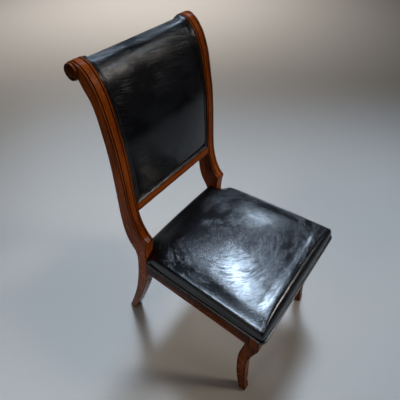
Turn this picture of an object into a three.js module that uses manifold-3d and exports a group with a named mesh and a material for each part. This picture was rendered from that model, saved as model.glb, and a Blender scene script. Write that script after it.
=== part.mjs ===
// Scroll-back dining chair of the klismos family, with sabre legs and leather upholstery.
// Millimetres. +X is the sitter's left, +Y the back, +Z up, and the chair faces -Y.
// Depths are measured from the step arris of the back posts until the last line centres the chair.
import * as THREE from 'three';
import { mergeVertices } from 'three/addons/utils/BufferGeometryUtils.js';
import Module from 'manifold-3d';

const wasm = await Module();
wasm.setup();

// Overall sizes
const chairHeight = 1063;
const stepHeight = 506;
const backWidth = 440;
const frontWidth = 471;
const seatDepth = 429;
const backRake = 142.5;
const rearFootReach = 141;

// Back posts, each one piece with its rear leg
const postWidth = 38;
const postDepth = 38;
const scrollRadius = 23;
const arris = 1.2;
const beadWidth = 7.5;
const grooveWidth = 2;
const grooveDepth = 2.2;
const bandCrown = 0.4;

// Seat frame
const railTop = 411.5;
const railHeight = 66.5;
const railThickness = 24;
const frontRailThickness = 22;
const rearRailSetback = 28;
const frontRailInset = 2;
const tenonThickness = 9;
const tenonShoulder = 9;
const sideTenonLength = 12;
const crossTenonLength = 14;
const mortiseDepthRoom = 1;

// Front legs
const frontLegWidth = 34;
const frontLegBlock = 34.5;
const frontFootWidth = 28.5;
const frontLegDrop = 92;
const legEar = 9.5;
const legTip = 8;

// Back rails and the frame of the upholstered back
const crossRailBottom = 607;
const crossRailHeight = 24;
const crossRailDepth = 30;
const crossRailBead = 4;
const crestRadius = 12;
const crestTenonRadius = 9;
const boardThickness = 6;

// Corner blocks and screws
const blockLeg = 52;
const blockHeight = 38;
const blockDrop = 1.5;
const screwHeadRadius = 4.2;
const screwHeadHeight = 2.6;
const screwShankRadius = 2;
const screwTip = 3;
const blockScrewLength = 30;
const seatScrewLength = 48;
const screwInsetShare = 0.62;
const seatScrewShare = 1 / 3;

// Rosettes and glides
const rosetteRadius = 21;
const rosetteHeight = 9;
const rosetteRing = 2.2;
const spigotRadius = 6;
const spigotLength = 9;
const glideRadius = 9;
const glideHeight = 4;
const glideEdge = 1;
const glidePinRadius = 1.4;
const glidePinLength = 12;

// Seat upholstery
const boardHeight = 12;
const boardInset = 2.2;
const boardClearShare = 0.6;
const seatOverhang = 1.5;
const frontOverhang = 11;
const seatSetback = 49;
const notchGap = 2;
const leatherThickness = 1.4;
const crownHeight = 70;
const sideBulge = 3;
const cornerSinkShare = 0.6;
const cornerRadius = 11;
const rearCornerRadius = 9;
const weltRadius = 2.7;
const weltPitch = 5.7;
const clothThickness = 0.8;
const clothInset = 6;

// Back upholstery
const rollInset = 7.5;
const padCrown = 12;
const padLip = 2;
const weltStrip = 12.5;
const backInset = 5;
const backPanelLeast = 3;
const backCrown = 1.5;
const backWeltRadius = 2.4;
const backWeltPitch = 5.2;
const rollEndAngle = -105;
const backWeltEndAngle = -45;
const boardStopAngle = 222;

// Clearances
const gap = 0.3;
const overrun = 4;

// Counts
const roundSides = 14;
const smallSides = 10;
const cordSides = 6;
const rollSteps = 9;
const lowerSteps = 10;
const upperSteps = 20;
const backSteps = 26;
const scrollSteps = 7;
const legSteps = 12;
const boardSteps = 12;
const turnSteps = 4;
const scribeSteps = 5;
const beadSteps = 6;
const weltTurnSteps = 5;

// Shares that shape the post: depth behind the step by rake, height above the step
const upperFrontShares = [
  [0, 0], [0.045, 0.012], [0.13, 0.036], [0.242, 0.097], [0.306, 0.169], [0.333, 0.259],
  [0.338, 0.44], [0.358, 0.591], [0.405, 0.69], [0.467, 0.806], [0.575, 0.898],
  [0.695, 0.952], [0.83, 0.986], [1, 1],
];
// Depth behind the step by foot reach, height by step height
const lowerFrontShares = [
  [1, 0], [0.8, 0.132], [0.624, 0.253], [0.447, 0.381], [0.305, 0.494], [0.213, 0.593],
  [0.135, 0.704], [0.092, 0.792], [0.07, 0.872], [0.045, 0.939], [0, 1],
];
// Height by step height, thickness of the leg by post depth
const lowerBackShares = [
  [0, 0.737], [0.091, 0.763], [0.221, 0.803], [0.372, 0.895], [0.508, 1.026], [0.628, 1.053],
  [0.735, 1.066], [0.818, 1.079], [0.877, 1.21], [0.915, 1.526], [0.955, 1.9],
];
// Height from the step by the rise to the scroll's underside, thickness by post depth
const upperBackShares = [
  [0.015, 2.05], [0.082, 1.56], [0.157, 1.276], [0.227, 1.13], [0.359, 1], [0.497, 0.92],
  [0.591, 0.88], [0.685, 0.84], [0.76, 0.8], [0.827, 0.785], [0.876, 0.8], [0.923, 0.84],
  [0.967, 1.0],
];
// Last point before the scroll, by scroll radius from the scroll's underside
const scrollLeadShares = [-0.54, 0.28];

// Front leg below its block: depth behind the leg's front by leg drop, height by railBottom
const frontLegFrontShares = [
  [0.02, 0.965], [0.152, 0.864], [0.283, 0.73], [0.348, 0.6], [0.353, 0.438], [0.326, 0.255],
  [0.304, 0.136], [0.239, 0],
];
const frontLegBackShares = [
  [0.554, 0], [0.511, 0.023], [0.598, 0.148], [0.674, 0.313], [0.702, 0.455], [0.707, 0.614],
  [0.674, 0.739], [0.576, 0.881],
];

// Seat cushion rings from the foot of the wall to the crown: size share, bulge share, height share
const seatRingShares = [
  [1, 0, 0], [1, 0.1, 0.17], [1, 0.9, 0.38], [0.998, 0.9, 0.5], [0.99, 0.6, 0.63],
  [0.972, 0.2, 0.745], [0.94, 0, 0.82], [0.88, 0, 0.855], [0.78, 0, 0.88], [0.6, 0, 0.93],
  [0.34, 0, 0.98],
];

// Colours
const wood = new THREE.MeshStandardMaterial({ color: 0x6b2f12, roughness: 0.32, metalness: 0 });
const bareWood = new THREE.MeshStandardMaterial({ color: 0xa67c4e, roughness: 0.7, metalness: 0 });
const plywood = new THREE.MeshStandardMaterial({ color: 0xb9925f, roughness: 0.75, metalness: 0 });
const leather = new THREE.MeshStandardMaterial({ color: 0x0d0f14, roughness: 0.3, metalness: 0 });
const foam = new THREE.MeshStandardMaterial({ color: 0xd8cfa6, roughness: 0.9, metalness: 0 });
const cloth = new THREE.MeshStandardMaterial({ color: 0x111111, roughness: 0.95, metalness: 0 });
const steel = new THREE.MeshStandardMaterial({ color: 0xb9b49a, roughness: 0.35, metalness: 1 });
const nylon = new THREE.MeshStandardMaterial({ color: 0x2a2320, roughness: 0.6, metalness: 0 });

// Sizes worked out from those above
const railBottom = railTop - railHeight;
const upperHeight = chairHeight - stepHeight;
const postOuter = backWidth / 2;
const postInner = postOuter - postWidth;
const frontOuter = frontWidth / 2;
const frontInner = frontOuter - frontLegWidth;
const blockFront = -seatDepth;
const blockBack = blockFront + frontLegBlock;
const scrollCentre = new THREE.Vector2(backRake, chairHeight - scrollRadius);
const railSplay = (postOuter - frontOuter) / blockBack;
const frontRailFront = blockFront + frontRailInset;
const frontRailBack = frontRailFront + frontRailThickness;
const crossRailTop = crossRailBottom + crossRailHeight;
const radians = THREE.MathUtils.degToRad;
const chair = new THREE.Group();

function v2(y, z) {
  return new THREE.Vector2(y, z);
}

// Smooth curve through hand-placed knots, as evenly spaced points
function through(knots, count) {
  return new THREE.SplineCurve(knots).getSpacedPoints(count);
}

// Depth of a rising curve at a height, by linear interpolation
function depthAt(points, height) {
  const rising = points[0].y < points[points.length - 1].y ? points : [...points].reverse();
  for (let i = 1; i < rising.length; i++) {
    if (height <= rising[i].y || i === rising.length - 1) {
      const share = (height - rising[i - 1].y) / (rising[i].y - rising[i - 1].y);
      return THREE.MathUtils.lerp(rising[i - 1].x, rising[i].x, share);
    }
  }
  return rising[0].x;
}

function arc(centre, radius, fromDegrees, toDegrees, steps) {
  const points = [];
  for (let i = 0; i <= steps; i++) {
    const angle = radians(THREE.MathUtils.lerp(fromDegrees, toDegrees, i / steps));
    points.push(v2(centre.x + radius * Math.cos(angle), centre.y + radius * Math.sin(angle)));
  }
  return points;
}

// Unit normals of an open run of points, to the left of its direction
function leftNormals(points) {
  return points.map((point, i) => {
    const before = points[Math.max(i - 1, 0)];
    const after = points[Math.min(i + 1, points.length - 1)];
    const along = after.clone().sub(before).normalize();
    return v2(-along.y, along.x);
  });
}

// A run of points moved sideways to its left
function offset(points, distance) {
  const normals = leftNormals(points);
  return points.map((point, i) => point.clone().addScaledVector(normals[i], distance));
}

// Outline entries with their outward normals and a share of the section's moulding
function entries(points, share) {
  const normals = leftNormals(points);
  return points.map((point, i) => ({ point, normal: normals[i], share }));
}

function geometryFrom(positions, index) {
  const geometry = new THREE.BufferGeometry();
  geometry.setAttribute('position', new THREE.Float32BufferAttribute(positions, 3));
  geometry.setIndex(index);
  return facingOut(geometry);
}

// Turns every face over when the enclosed volume comes out negative
function facingOut(geometry) {
  const p = geometry.attributes.position;
  const index = geometry.index.array;
  const a = new THREE.Vector3();
  const b = new THREE.Vector3();
  const c = new THREE.Vector3();
  let volume = 0;
  for (let i = 0; i < index.length; i += 3) {
    a.fromBufferAttribute(p, index[i]);
    b.fromBufferAttribute(p, index[i + 1]);
    c.fromBufferAttribute(p, index[i + 2]);
    volume += a.dot(b.cross(c));
  }
  if (volume < 0) {
    for (let i = 0; i < index.length; i += 3) {
      [index[i + 1], index[i + 2]] = [index[i + 2], index[i + 1]];
    }
  }
  return geometry;
}

// Cap triangles of one ring, wound against the ring when reversed is true
function capTriangles(ring, base, reversed) {
  const ringTurnsLeft = THREE.ShapeUtils.area(ring) > 0;
  const triangles = [];
  for (const [a, b, c] of THREE.ShapeUtils.triangulateShape(ring, [])) {
    const turnsLeft = THREE.ShapeUtils.area([ring[a], ring[b], ring[c]]) > 0;
    const follows = turnsLeft === ringTurnsLeft;
    if (follows !== reversed) triangles.push(base + a, base + b, base + c);
    else triangles.push(base + a, base + c, base + b);
  }
  return triangles;
}

// Outline without the points that lie on a straight run, which a cap would leave out
function bends(outline) {
  return outline.filter(({ point }, i) => {
    const before = outline[(i + outline.length - 1) % outline.length].point;
    const after = outline[(i + 1) % outline.length].point;
    const turn = point.clone().sub(before).cross(after.clone().sub(point));
    return Math.abs(turn) > gap * gap / 300;
  });
}

// Side-view outline carried across the chair. Each stop has x, an inset all round and a moulding depth.
function across(fullOutline, stops) {
  const outline = bends(fullOutline);
  const count = outline.length;
  const positions = [];
  const index = [];
  const limit = new THREE.Box2().setFromPoints(outline.map(({ point }) => point));
  const rings = stops.map((stop) => outline.map(({ point, normal, share }) => {
    const moved = point.clone().addScaledVector(normal, -stop.inset).clamp(limit.min, limit.max);
    return moved.addScaledVector(normal, -stop.mould * share);
  }));
  rings.forEach((ring, j) => ring.forEach((q) => positions.push(stops[j].x, q.x, q.y)));
  for (let j = 0; j + 1 < rings.length; j++) {
    for (let i = 0; i < count; i++) {
      const next = (i + 1) % count;
      const a = j * count + i;
      const b = j * count + next;
      index.push(a, b, b + count, a, b + count, a + count);
    }
  }
  index.push(...capTriangles(rings[0], 0, true));
  index.push(...capTriangles(rings[rings.length - 1], (rings.length - 1) * count, false));
  return geometryFrom(positions, index);
}

// Rings of points closed at both ends by a single point
function ringStack(rings, first, last) {
  const count = rings[0].length;
  const positions = [first.x, first.y, first.z];
  const index = [];
  rings.forEach((ring) => ring.forEach((q) => positions.push(q.x, q.y, q.z)));
  positions.push(last.x, last.y, last.z);
  const end = 1 + rings.length * count;
  for (let i = 0; i < count; i++) {
    const next = (i + 1) % count;
    index.push(0, 1 + next, 1 + i);
    for (let j = 0; j + 1 < rings.length; j++) {
      const a = 1 + j * count + i;
      const b = 1 + j * count + next;
      index.push(a, b, b + count, a, b + count, a + count);
    }
    const base = 1 + (rings.length - 1) * count;
    index.push(base + i, base + next, end);
  }
  return geometryFrom(positions, index);
}

// A cord of given radius along points, with flat ends; its section never twists
function cord(points, radius) {
  const side = new THREE.Vector3(0, 0, 1);
  const rings = points.map((point, i) => {
    const before = points[Math.max(i - 1, 0)];
    const after = points[Math.min(i + 1, points.length - 1)];
    const along = after.clone().sub(before).normalize();
    if (i === 0 && Math.abs(along.z) > 1 / 2) side.set(1, 0, 0);
    side.addScaledVector(along, -side.dot(along)).normalize();
    const up = along.clone().cross(side);
    return Array.from({ length: cordSides }, (unused, k) => {
      const angle = (k / cordSides) * Math.PI * 2;
      return point.clone().addScaledVector(side, radius * Math.cos(angle))
        .addScaledVector(up, radius * Math.sin(angle));
    });
  });
  return ringStack(rings, points[0], points[points.length - 1]);
}

// A run of points with each inner corner rounded by an arc of the given span
function rounded(points, span, steps) {
  const run = [points[0]];
  for (let i = 1; i + 1 < points.length; i++) {
    const from = points[i].clone().lerp(points[i - 1], span / points[i].distanceTo(points[i - 1]));
    const to = points[i].clone().lerp(points[i + 1], span / points[i].distanceTo(points[i + 1]));
    const bend = new THREE.QuadraticBezierCurve3(from, points[i], to);
    run.push(...bend.getPoints(steps));
  }
  run.push(points[points.length - 1]);
  return run;
}

// Solids for cutting and joining
function solid(geometry) {
  const bare = geometry.clone();
  bare.deleteAttribute('normal');
  bare.deleteAttribute('uv');
  const merged = facingOut(mergeVertices(bare, gap / 100));
  const vertProperties = new Float32Array(merged.attributes.position.array);
  const triVerts = new Uint32Array(merged.index.array);
  return new wasm.Manifold(new wasm.Mesh({ numProp: 3, vertProperties, triVerts }));
}

function geometryOf(body) {
  const mesh = body.getMesh();
  return geometryFrom(Array.from(mesh.vertProperties), Array.from(mesh.triVerts));
}

function box(x0, x1, y0, y1, z0, z1) {
  const geometry = new THREE.BoxGeometry(x1 - x0, y1 - y0, z1 - z0);
  geometry.translate((x0 + x1) / 2, (y0 + y1) / 2, (z0 + z1) / 2);
  return geometry;
}

// Round hole along an axis from a start point: its flats, not its corners, lie at the radius
function bar(radius, length, start, axis) {
  const reach = radius / Math.cos(Math.PI / smallSides);
  const geometry = new THREE.CylinderGeometry(reach, reach, length, smallSides);
  geometry.translate(0, length / 2, 0);
  const turn = new THREE.Quaternion().setFromUnitVectors(new THREE.Vector3(0, 1, 0), axis);
  geometry.applyQuaternion(turn);
  geometry.translate(start.x, start.y, start.z);
  return geometry;
}

// Turned piece: profile of radius and height, stood on a start point along an axis
function turned(profile, sides, start, axis) {
  const geometry = new THREE.LatheGeometry(profile, sides);
  const turn = new THREE.Quaternion().setFromUnitVectors(new THREE.Vector3(0, 1, 0), axis);
  geometry.applyQuaternion(turn);
  geometry.translate(start.x, start.y, start.z);
  return geometry;
}

function mirrored(geometry) {
  const copy = geometry.clone();
  copy.scale(-1, 1, 1);
  if (copy.index === null) return facingOut(mergeVertices(copy));
  return facingOut(copy);
}

function add(name, geometry, material) {
  const bare = geometry.clone();
  bare.deleteAttribute('normal');
  bare.deleteAttribute('uv');
  const merged = facingOut(mergeVertices(bare, gap / 100));
  merged.computeVertexNormals();
  const mesh = new THREE.Mesh(merged, material);
  mesh.name = name;
  chair.add(mesh);
}

// The right piece is built at -X and the left one is its mirror image
function addPair(name, geometry, material) {
  add(`right_${name}`, geometry, material);
  add(`left_${name}`, mirrored(geometry), material);
}

// Side profiles of post and rear leg
function lowerHeight(share) {
  return THREE.MathUtils.lerp(glideHeight, stepHeight, share);
}

function upperAt(share) {
  return stepHeight + share * upperHeight;
}

const lowerFront = through(
  lowerFrontShares.map(([depth, height]) => v2(depth * rearFootReach, lowerHeight(height))), lowerSteps);
const upperFront = through(
  upperFrontShares.map(([depth, height]) => v2(depth * backRake, upperAt(height))), upperSteps);
const backCurve = through([
  ...lowerBackShares.map(([height, depth]) => {
    const z = lowerHeight(height);
    return v2(depthAt(lowerFront, z) + depth * postDepth, z);
  }),
  ...upperBackShares.map(([height, depth]) => {
    const z = THREE.MathUtils.lerp(stepHeight, scrollCentre.y - scrollRadius, height);
    return v2(depthAt(upperFront, z) + depth * postDepth, z);
  }),
  v2(scrollCentre.x + scrollLeadShares[0] * scrollRadius,
    scrollCentre.y - scrollRadius + scrollLeadShares[1] * scrollRadius),
  v2(scrollCentre.x, scrollCentre.y - scrollRadius),
], backSteps);

function frontAt(height) {
  return height < stepHeight ? depthAt(lowerFront, height) : depthAt(upperFront, height);
}

function backAt(height) {
  return depthAt(backCurve, height);
}

// Back post with its rear leg
function postOutline() {
  const scroll = arc(scrollCentre, scrollRadius, 90, -90, scrollSteps);
  const down = [...backCurve].reverse();
  return [
    ...entries(lowerFront, 0).slice(0, -1),
    ...entries(upperFront, 1),
    ...entries(scroll, 1).slice(1, -1),
    ...entries(down, 0),
  ];
}

function postStops() {
  const half = postWidth / 2;
  const list = [
    [0, arris, 0], [arris, 0, 0], [beadWidth, 0, 0],
    [beadWidth + grooveWidth / 2, 0, grooveDepth], [beadWidth + grooveWidth, 0, 0],
    [half, 0, -bandCrown],
  ];
  const rest = list.slice(0, -1).reverse().map(([s, inset, mould]) => [postWidth - s, inset, mould]);
  return [...list, ...rest].map(([s, inset, mould]) => ({ x: -postOuter + s, inset, mould }));
}

const tenonBottom = railBottom + tenonShoulder;
const tenonTop = railTop - tenonShoulder;
const postAtTenons = frontAt((tenonBottom + tenonTop) / 2);
const legFrontTop = Math.min(frontAt(railTop), frontAt(railTop - blockHeight));
const sideTenonX = -(postOuter - railThickness / 2);
const rearTenonY = rearRailSetback + frontRailThickness / 2;
const crossFront = frontAt((crossRailBottom + crossRailTop) / 2);
const crossTenonY = crossFront + crossRailDepth / 2;
const crossTenonHalf = crossRailHeight / 2 - arris - grooveDepth;
const crossMid = (crossRailBottom + crossRailTop) / 2;
const xAxis = new THREE.Vector3(1, 0, 0);
const yAxis = new THREE.Vector3(0, 1, 0);
const zAxis = new THREE.Vector3(0, 0, 1);
const rearFootY = rearFootReach + (backCurve[0].x - rearFootReach) / 2;

function makePost() {
  const t = tenonThickness / 2 + gap;
  let body = solid(across(postOutline(), postStops()));
  const holes = [
    box(sideTenonX - t, sideTenonX + t, -overrun, postAtTenons + sideTenonLength + mortiseDepthRoom,
      tenonBottom - gap, tenonTop + gap),
    box(-postInner - crossTenonLength - mortiseDepthRoom, -postInner + overrun,
      rearTenonY - t, rearTenonY + t, tenonBottom - gap, tenonTop + gap),
    box(-postInner - crossTenonLength - mortiseDepthRoom, -postInner + overrun,
      crossTenonY - t, crossTenonY + t, crossMid - crossTenonHalf - gap, crossMid + crossTenonHalf + gap),
    bar(crestTenonRadius + gap, crossTenonLength + mortiseDepthRoom + overrun,
      new THREE.Vector3(-postInner + overrun, scrollCentre.x, scrollCentre.y), xAxis.clone().negate()),
    bar(spigotRadius + gap, spigotLength + mortiseDepthRoom + overrun,
      new THREE.Vector3(-postOuter - overrun, scrollCentre.x, scrollCentre.y), xAxis),
    bar(glidePinRadius + gap, glidePinLength + mortiseDepthRoom + overrun,
      new THREE.Vector3(-postOuter + postWidth / 2, rearFootY, glideHeight - overrun), zAxis),
  ];
  holes.forEach((hole) => { body = body.subtract(solid(hole)); });
  return geometryOf(body);
}

// Front leg with its square block
const toeShare = frontLegFrontShares[frontLegFrontShares.length - 1][0];
const footMid = (toeShare + frontLegBackShares[0][0]) / 2;
const frontFootY = blockFront + footMid * frontLegDrop;

function makeFrontLeg() {
  const at = ([depth, height]) => v2(blockFront + depth * frontLegDrop,
    THREE.MathUtils.lerp(glideHeight, railBottom, height));
  const front = through([v2(blockFront, railBottom - legTip / 2),
    ...frontLegFrontShares.map(at)].reverse(), legSteps);
  const back = through([...frontLegBackShares.map(at),
    v2(blockBack + legEar, railBottom - gap)].reverse(), legSteps);
  const outline = [
    ...entries(front, 0),
    ...entries([v2(blockFront, railBottom + legTip / 2), v2(blockFront, railTop)], 0),
    ...entries([v2(blockBack, railTop), v2(blockBack, railBottom - gap)], 0),
    ...entries(back, 0),
  ];
  const w = frontLegWidth;
  const stops = [[0, arris], [arris, 0], [w - arris, 0], [w, arris]]
    .map(([s, inset]) => ({ x: -frontOuter + s, inset, mould: 0 }));
  const geometry = across(outline, stops);
  const p = geometry.attributes.position;
  for (let i = 0; i < p.count; i++) {
    const share = THREE.MathUtils.clamp(p.getZ(i) / railBottom, 0, 1);
    const width = THREE.MathUtils.lerp(frontFootWidth / frontLegWidth, 1, share);
    p.setX(i, -frontOuter + (p.getX(i) + frontOuter) * width);
  }
  const t = tenonThickness / 2 + gap;
  const sideX = -(frontOuter - railThickness / 2);
  const frontY = (frontRailFront + frontRailBack) / 2;
  let body = solid(geometry);
  const holes = [
    box(sideX - t, sideX + t, blockBack - sideTenonLength - mortiseDepthRoom, blockBack + overrun,
      tenonBottom - gap, tenonTop + gap),
    box(-frontInner - sideTenonLength - mortiseDepthRoom, -frontInner + overrun,
      frontY - t, frontY + t, tenonBottom - gap, tenonTop + gap),
    bar(glidePinRadius + gap, glidePinLength + mortiseDepthRoom + overrun,
      new THREE.Vector3(-frontOuter + frontFootWidth / 2, frontFootY, glideHeight - overrun), zAxis),
  ];
  holes.forEach((hole) => { body = body.subtract(solid(hole)); });
  return geometryOf(body);
}

// Screws: countersunk head at the start point, shank along the axis
function screwProfile(length, grow) {
  return [
    v2(0, -grow), v2(screwHeadRadius + grow, -grow), v2(screwShankRadius + grow, screwHeadHeight),
    v2(screwShankRadius + grow, length - screwTip), v2(0, length + grow),
  ];
}

function drilled(geometry, list) {
  let body = solid(geometry);
  list.forEach(({ start, axis, length }) => {
    body = body.subtract(solid(turned(screwProfile(length, gap), smallSides, start, axis)));
    body = body.subtract(solid(bar(screwHeadRadius + gap, overrun,
      start.clone().addScaledVector(axis, -overrun - gap / 2), axis)));
  });
  return geometryOf(body);
}

// Outer and inner face of the side rails at a depth
function railOuterAt(y) {
  return postOuter - railSplay * y;
}

function railInnerAt(y) {
  return railOuterAt(y) - railThickness;
}

const blockTop = railTop - blockDrop;
const blockBottom = blockTop - blockHeight;
const screwHeight = (blockTop + blockBottom) / 2;

// Corner blocks: the front ones fit round the leg's inner corner, the rear ones round the post's
function cornerPlan(legY, legX, railY, toward) {
  const y1 = legY + toward * gap;
  const y2 = legY + toward * blockLeg;
  return [
    v2(-(railInnerAt(y1) - gap), y1), v2(-(legX - gap), y1), v2(-(legX - gap), railY + toward * gap),
    v2(-(legX - blockLeg), railY + toward * gap), v2(-(railInnerAt(y2) - gap), y2),
  ];
}

function prism(plan, bottom, top) {
  const shape = new THREE.Shape(plan);
  const geometry = new THREE.ExtrudeGeometry(shape, { depth: top - bottom, bevelEnabled: false });
  geometry.translate(0, 0, bottom);
  return geometry;
}

function screwsOf(plan, toward, name) {
  const inner = plan[4];
  const far = plan[3];
  const middle = inner.clone().add(far).multiplyScalar(1 / 2);
  const toRail = inner.clone().lerp(far, 1 - screwInsetShare);
  const toEnd = far.clone().lerp(inner, 1 - screwInsetShare);
  const seatStart = middle.clone().lerp(plan[1], seatScrewShare);
  return [
    {
      name: `${name}_side_screw`,
      start: new THREE.Vector3(toRail.x, toRail.y, screwHeight - screwHeadRadius * 2),
      axis: xAxis.clone().negate(),
      length: blockScrewLength,
    },
    {
      name: `${name}_end_screw`,
      start: new THREE.Vector3(toEnd.x, toEnd.y, screwHeight + screwHeadRadius * 2),
      axis: yAxis.clone().multiplyScalar(-toward),
      length: blockScrewLength,
    },
    {
      name: `${name}_seat_screw`,
      start: new THREE.Vector3(seatStart.x, seatStart.y, blockBottom),
      axis: zAxis.clone(),
      length: seatScrewLength,
    },
  ];
}

const frontPlan = cornerPlan(blockBack, frontInner, frontRailBack, 1);
const rearPlan = cornerPlan(legFrontTop, postInner, rearRailSetback, -1);
const frontScrews = screwsOf(frontPlan, 1, 'front');
const rearScrews = screwsOf(rearPlan, -1, 'rear');

function mirrorScrew(screw) {
  return {
    ...screw,
    start: screw.start.clone().multiply(new THREE.Vector3(-1, 1, 1)),
    axis: screw.axis.clone().multiply(new THREE.Vector3(-1, 1, 1)),
  };
}

// Side rail: its rear end is scribed to the curve of the rear leg, and it splays with the seat
function makeSideRail() {
  const scribe = [];
  for (let i = 0; i <= scribeSteps; i++) {
    const z = THREE.MathUtils.lerp(railBottom, railTop, i / scribeSteps);
    scribe.push(v2(frontAt(z) - gap, z));
  }
  const outline = [
    ...entries([v2(blockBack + gap, railBottom), v2(blockBack + gap, railTop)], 0),
    ...entries(scribe.reverse(), 0),
  ];
  const stops = [[0, arris], [arris, 0], [railThickness - arris, 0], [railThickness, arris]]
    .map(([s, inset]) => ({ x: -postOuter + s, inset, mould: 0 }));
  const geometry = across(outline, stops);
  const p = geometry.attributes.position;
  for (let i = 0; i < p.count; i++) p.setX(i, p.getX(i) + railSplay * p.getY(i));
  const t = tenonThickness / 2;
  const sideX = -(frontOuter - railThickness / 2);
  let body = solid(geometry);
  body = body.add(solid(box(sideTenonX - t, sideTenonX + t, -blockLeg / 2,
    postAtTenons + sideTenonLength, tenonBottom, tenonTop)));
  body = body.add(solid(box(sideX - t, sideX + t, blockBack - sideTenonLength,
    blockBack + blockLeg / 2, tenonBottom, tenonTop)));
  return drilled(geometryOf(body), [frontScrews[0], rearScrews[0]]);
}

function makeFrontRail() {
  const half = frontInner - gap;
  const y = (frontRailFront + frontRailBack) / 2;
  const t = tenonThickness / 2;
  let body = solid(box(-half, half, frontRailFront, frontRailBack, railBottom, railTop));
  const reach = frontInner + sideTenonLength;
  body = body.add(solid(box(-reach, reach, y - t, y + t, tenonBottom, tenonTop)));
  return drilled(geometryOf(body), [frontScrews[1], mirrorScrew(frontScrews[1])]);
}

function makeRearRail() {
  const half = postInner - gap;
  const t = tenonThickness / 2;
  let body = solid(box(-half, half, rearRailSetback, rearRailSetback + frontRailThickness,
    railBottom, railTop));
  const reach = postInner + crossTenonLength;
  body = body.add(solid(box(-reach, reach, rearTenonY - t, rearTenonY + t, tenonBottom, tenonTop)));
  return drilled(geometryOf(body), [rearScrews[1], mirrorScrew(rearScrews[1])]);
}

// Cross rail: its face follows the posts, with a bead along the bottom edge
function makeCrossRail() {
  const face = [];
  const faceBottom = crossRailBottom + crossRailBead + grooveWidth / 2;
  for (let i = 0; i <= turnSteps; i++) {
    const z = THREE.MathUtils.lerp(faceBottom, crossRailTop, i / turnSteps);
    face.push(v2(frontAt(z), z));
  }
  const beadRadius = crossRailBead / 2;
  const beadCentre = v2(frontAt(crossRailBottom) + beadRadius, crossRailBottom + beadRadius);
  const bead = arc(beadCentre, beadRadius, 270, 90, beadSteps);
  const rear = frontAt(crossRailTop) + crossRailDepth;
  const outline = [...bead, ...face, v2(rear, crossRailTop), v2(rear, crossRailBottom)];
  const half = postInner - gap;
  const stops = [-half, half].map((x) => ({ x, inset: 0, mould: 0 }));
  let body = solid(across(entries(outline, 0), stops));
  const reach = postInner + crossTenonLength;
  const t = tenonThickness / 2;
  body = body.add(solid(box(-reach, reach, crossTenonY - t, crossTenonY + t,
    crossMid - crossTenonHalf, crossMid + crossTenonHalf)));
  return geometryOf(body);
}

// Crest rail: a round bar hidden in the leather roll, with round tenons
function makeCrestRail() {
  const half = postInner - gap;
  const reach = postInner + crossTenonLength;
  const profile = [v2(0, -reach), v2(crestTenonRadius, -reach), v2(crestTenonRadius, -half),
    v2(crestRadius, -half), v2(crestRadius, half), v2(crestTenonRadius, half),
    v2(crestTenonRadius, reach), v2(0, reach)];
  return turned(profile, roundSides, new THREE.Vector3(0, scrollCentre.x, scrollCentre.y), xAxis);
}

// Back board: a bent plywood panel between cross rail and crest rail. Its last bend starts below the
// scroll's centre by the end share of the scroll radius
const boardDepthShare = 0.62;
const boardHeightShares = [0, 0.2, 0.4, 0.6, 0.8, 1];
const boardEndShare = 1.737;
const boardTopAngle = radians(boardStopAngle);
const boardStopRadius = Math.hypot(crestRadius + gap, boardThickness / 2);
const boardPath = through([
  ...boardHeightShares.map((share) => {
    const end = scrollCentre.y - boardEndShare * scrollRadius;
    const z = THREE.MathUtils.lerp(crossRailTop + gap, end, share);
    return v2(THREE.MathUtils.lerp(frontAt(z), backAt(z), boardDepthShare), z);
  }),
  v2(scrollCentre.x + boardStopRadius * Math.cos(boardTopAngle),
    scrollCentre.y + boardStopRadius * Math.sin(boardTopAngle)),
], boardSteps);

// The same run with both end points moved outward along it
function lengthened(path, reach) {
  const ends = [[path[0], path[1]], [path[path.length - 1], path[path.length - 2]]];
  const [first, last] = ends.map(([end, inner]) => {
    const along = end.clone().sub(inner).setLength(reach);
    return end.clone().add(along);
  });
  return [first, ...path.slice(1, -1), last];
}

function slab(path, leftSide, rightSide) {
  const left = offset(path, leftSide);
  const right = offset(path, -rightSide).reverse();
  return [...left, ...right];
}

function makeBackBoard() {
  const half = postInner - gap;
  const stops = [-half, half].map((x) => ({ x, inset: 0, mould: 0 }));
  return across(entries(slab(boardPath, boardThickness / 2, boardThickness / 2), 0), stops);
}

// Front pad of the back: foam and leather from the cross rail over the roll to its underside
// Across the pad: share of the half width and share of the crown
const padCrownShares = [[0.82, 0.35], [0.6, 0.75], [0.3, 0.96]];
const crownFallShare = 0.6;
const rollStartShare = 0.87;

function padStops() {
  const edge = postInner - gap;
  const inner = edge - weltStrip;
  const half = [
    [edge, 0], [inner, 0], [inner - weltRadius * 2, padLip - rollInset],
    ...padCrownShares.map(([width, crown]) => [inner * width, -(rollInset + padCrown * crown)]),
  ];
  const left = half.map(([x, mould]) => ({ x: -x, inset: 0, mould }));
  const right = [...half].reverse().map(([x, mould]) => ({ x, inset: 0, mould }));
  return [...left, { x: 0, inset: 0, mould: -(rollInset + padCrown) }, ...right];
}

const padBottom = crossRailTop + gap;

// Posts' front curve from a height upward and a turn over the scroll, all moved inward
function frontRun(bottom, inward, turn) {
  const start = [bottom - weltStrip, bottom, bottom + weltStrip].map((z) => v2(frontAt(z), z));
  const rest = upperFront.filter((q) => q.y > bottom + weltStrip + weltRadius);
  const run = offset([...start, ...rest, ...turn], -inward);
  return [v2(depthAt(run, bottom), bottom), ...run.slice(2)];
}

// Share of crown along the height: nothing at the cross rail and at the roll
function crownShare(height) {
  const rise = THREE.MathUtils.smoothstep(height, padBottom + weltStrip, padBottom + weltStrip * 3);
  const fall = 1 - THREE.MathUtils.smoothstep(height, upperAt(crownFallShare), upperAt(rollStartShare));
  return rise * fall;
}

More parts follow.
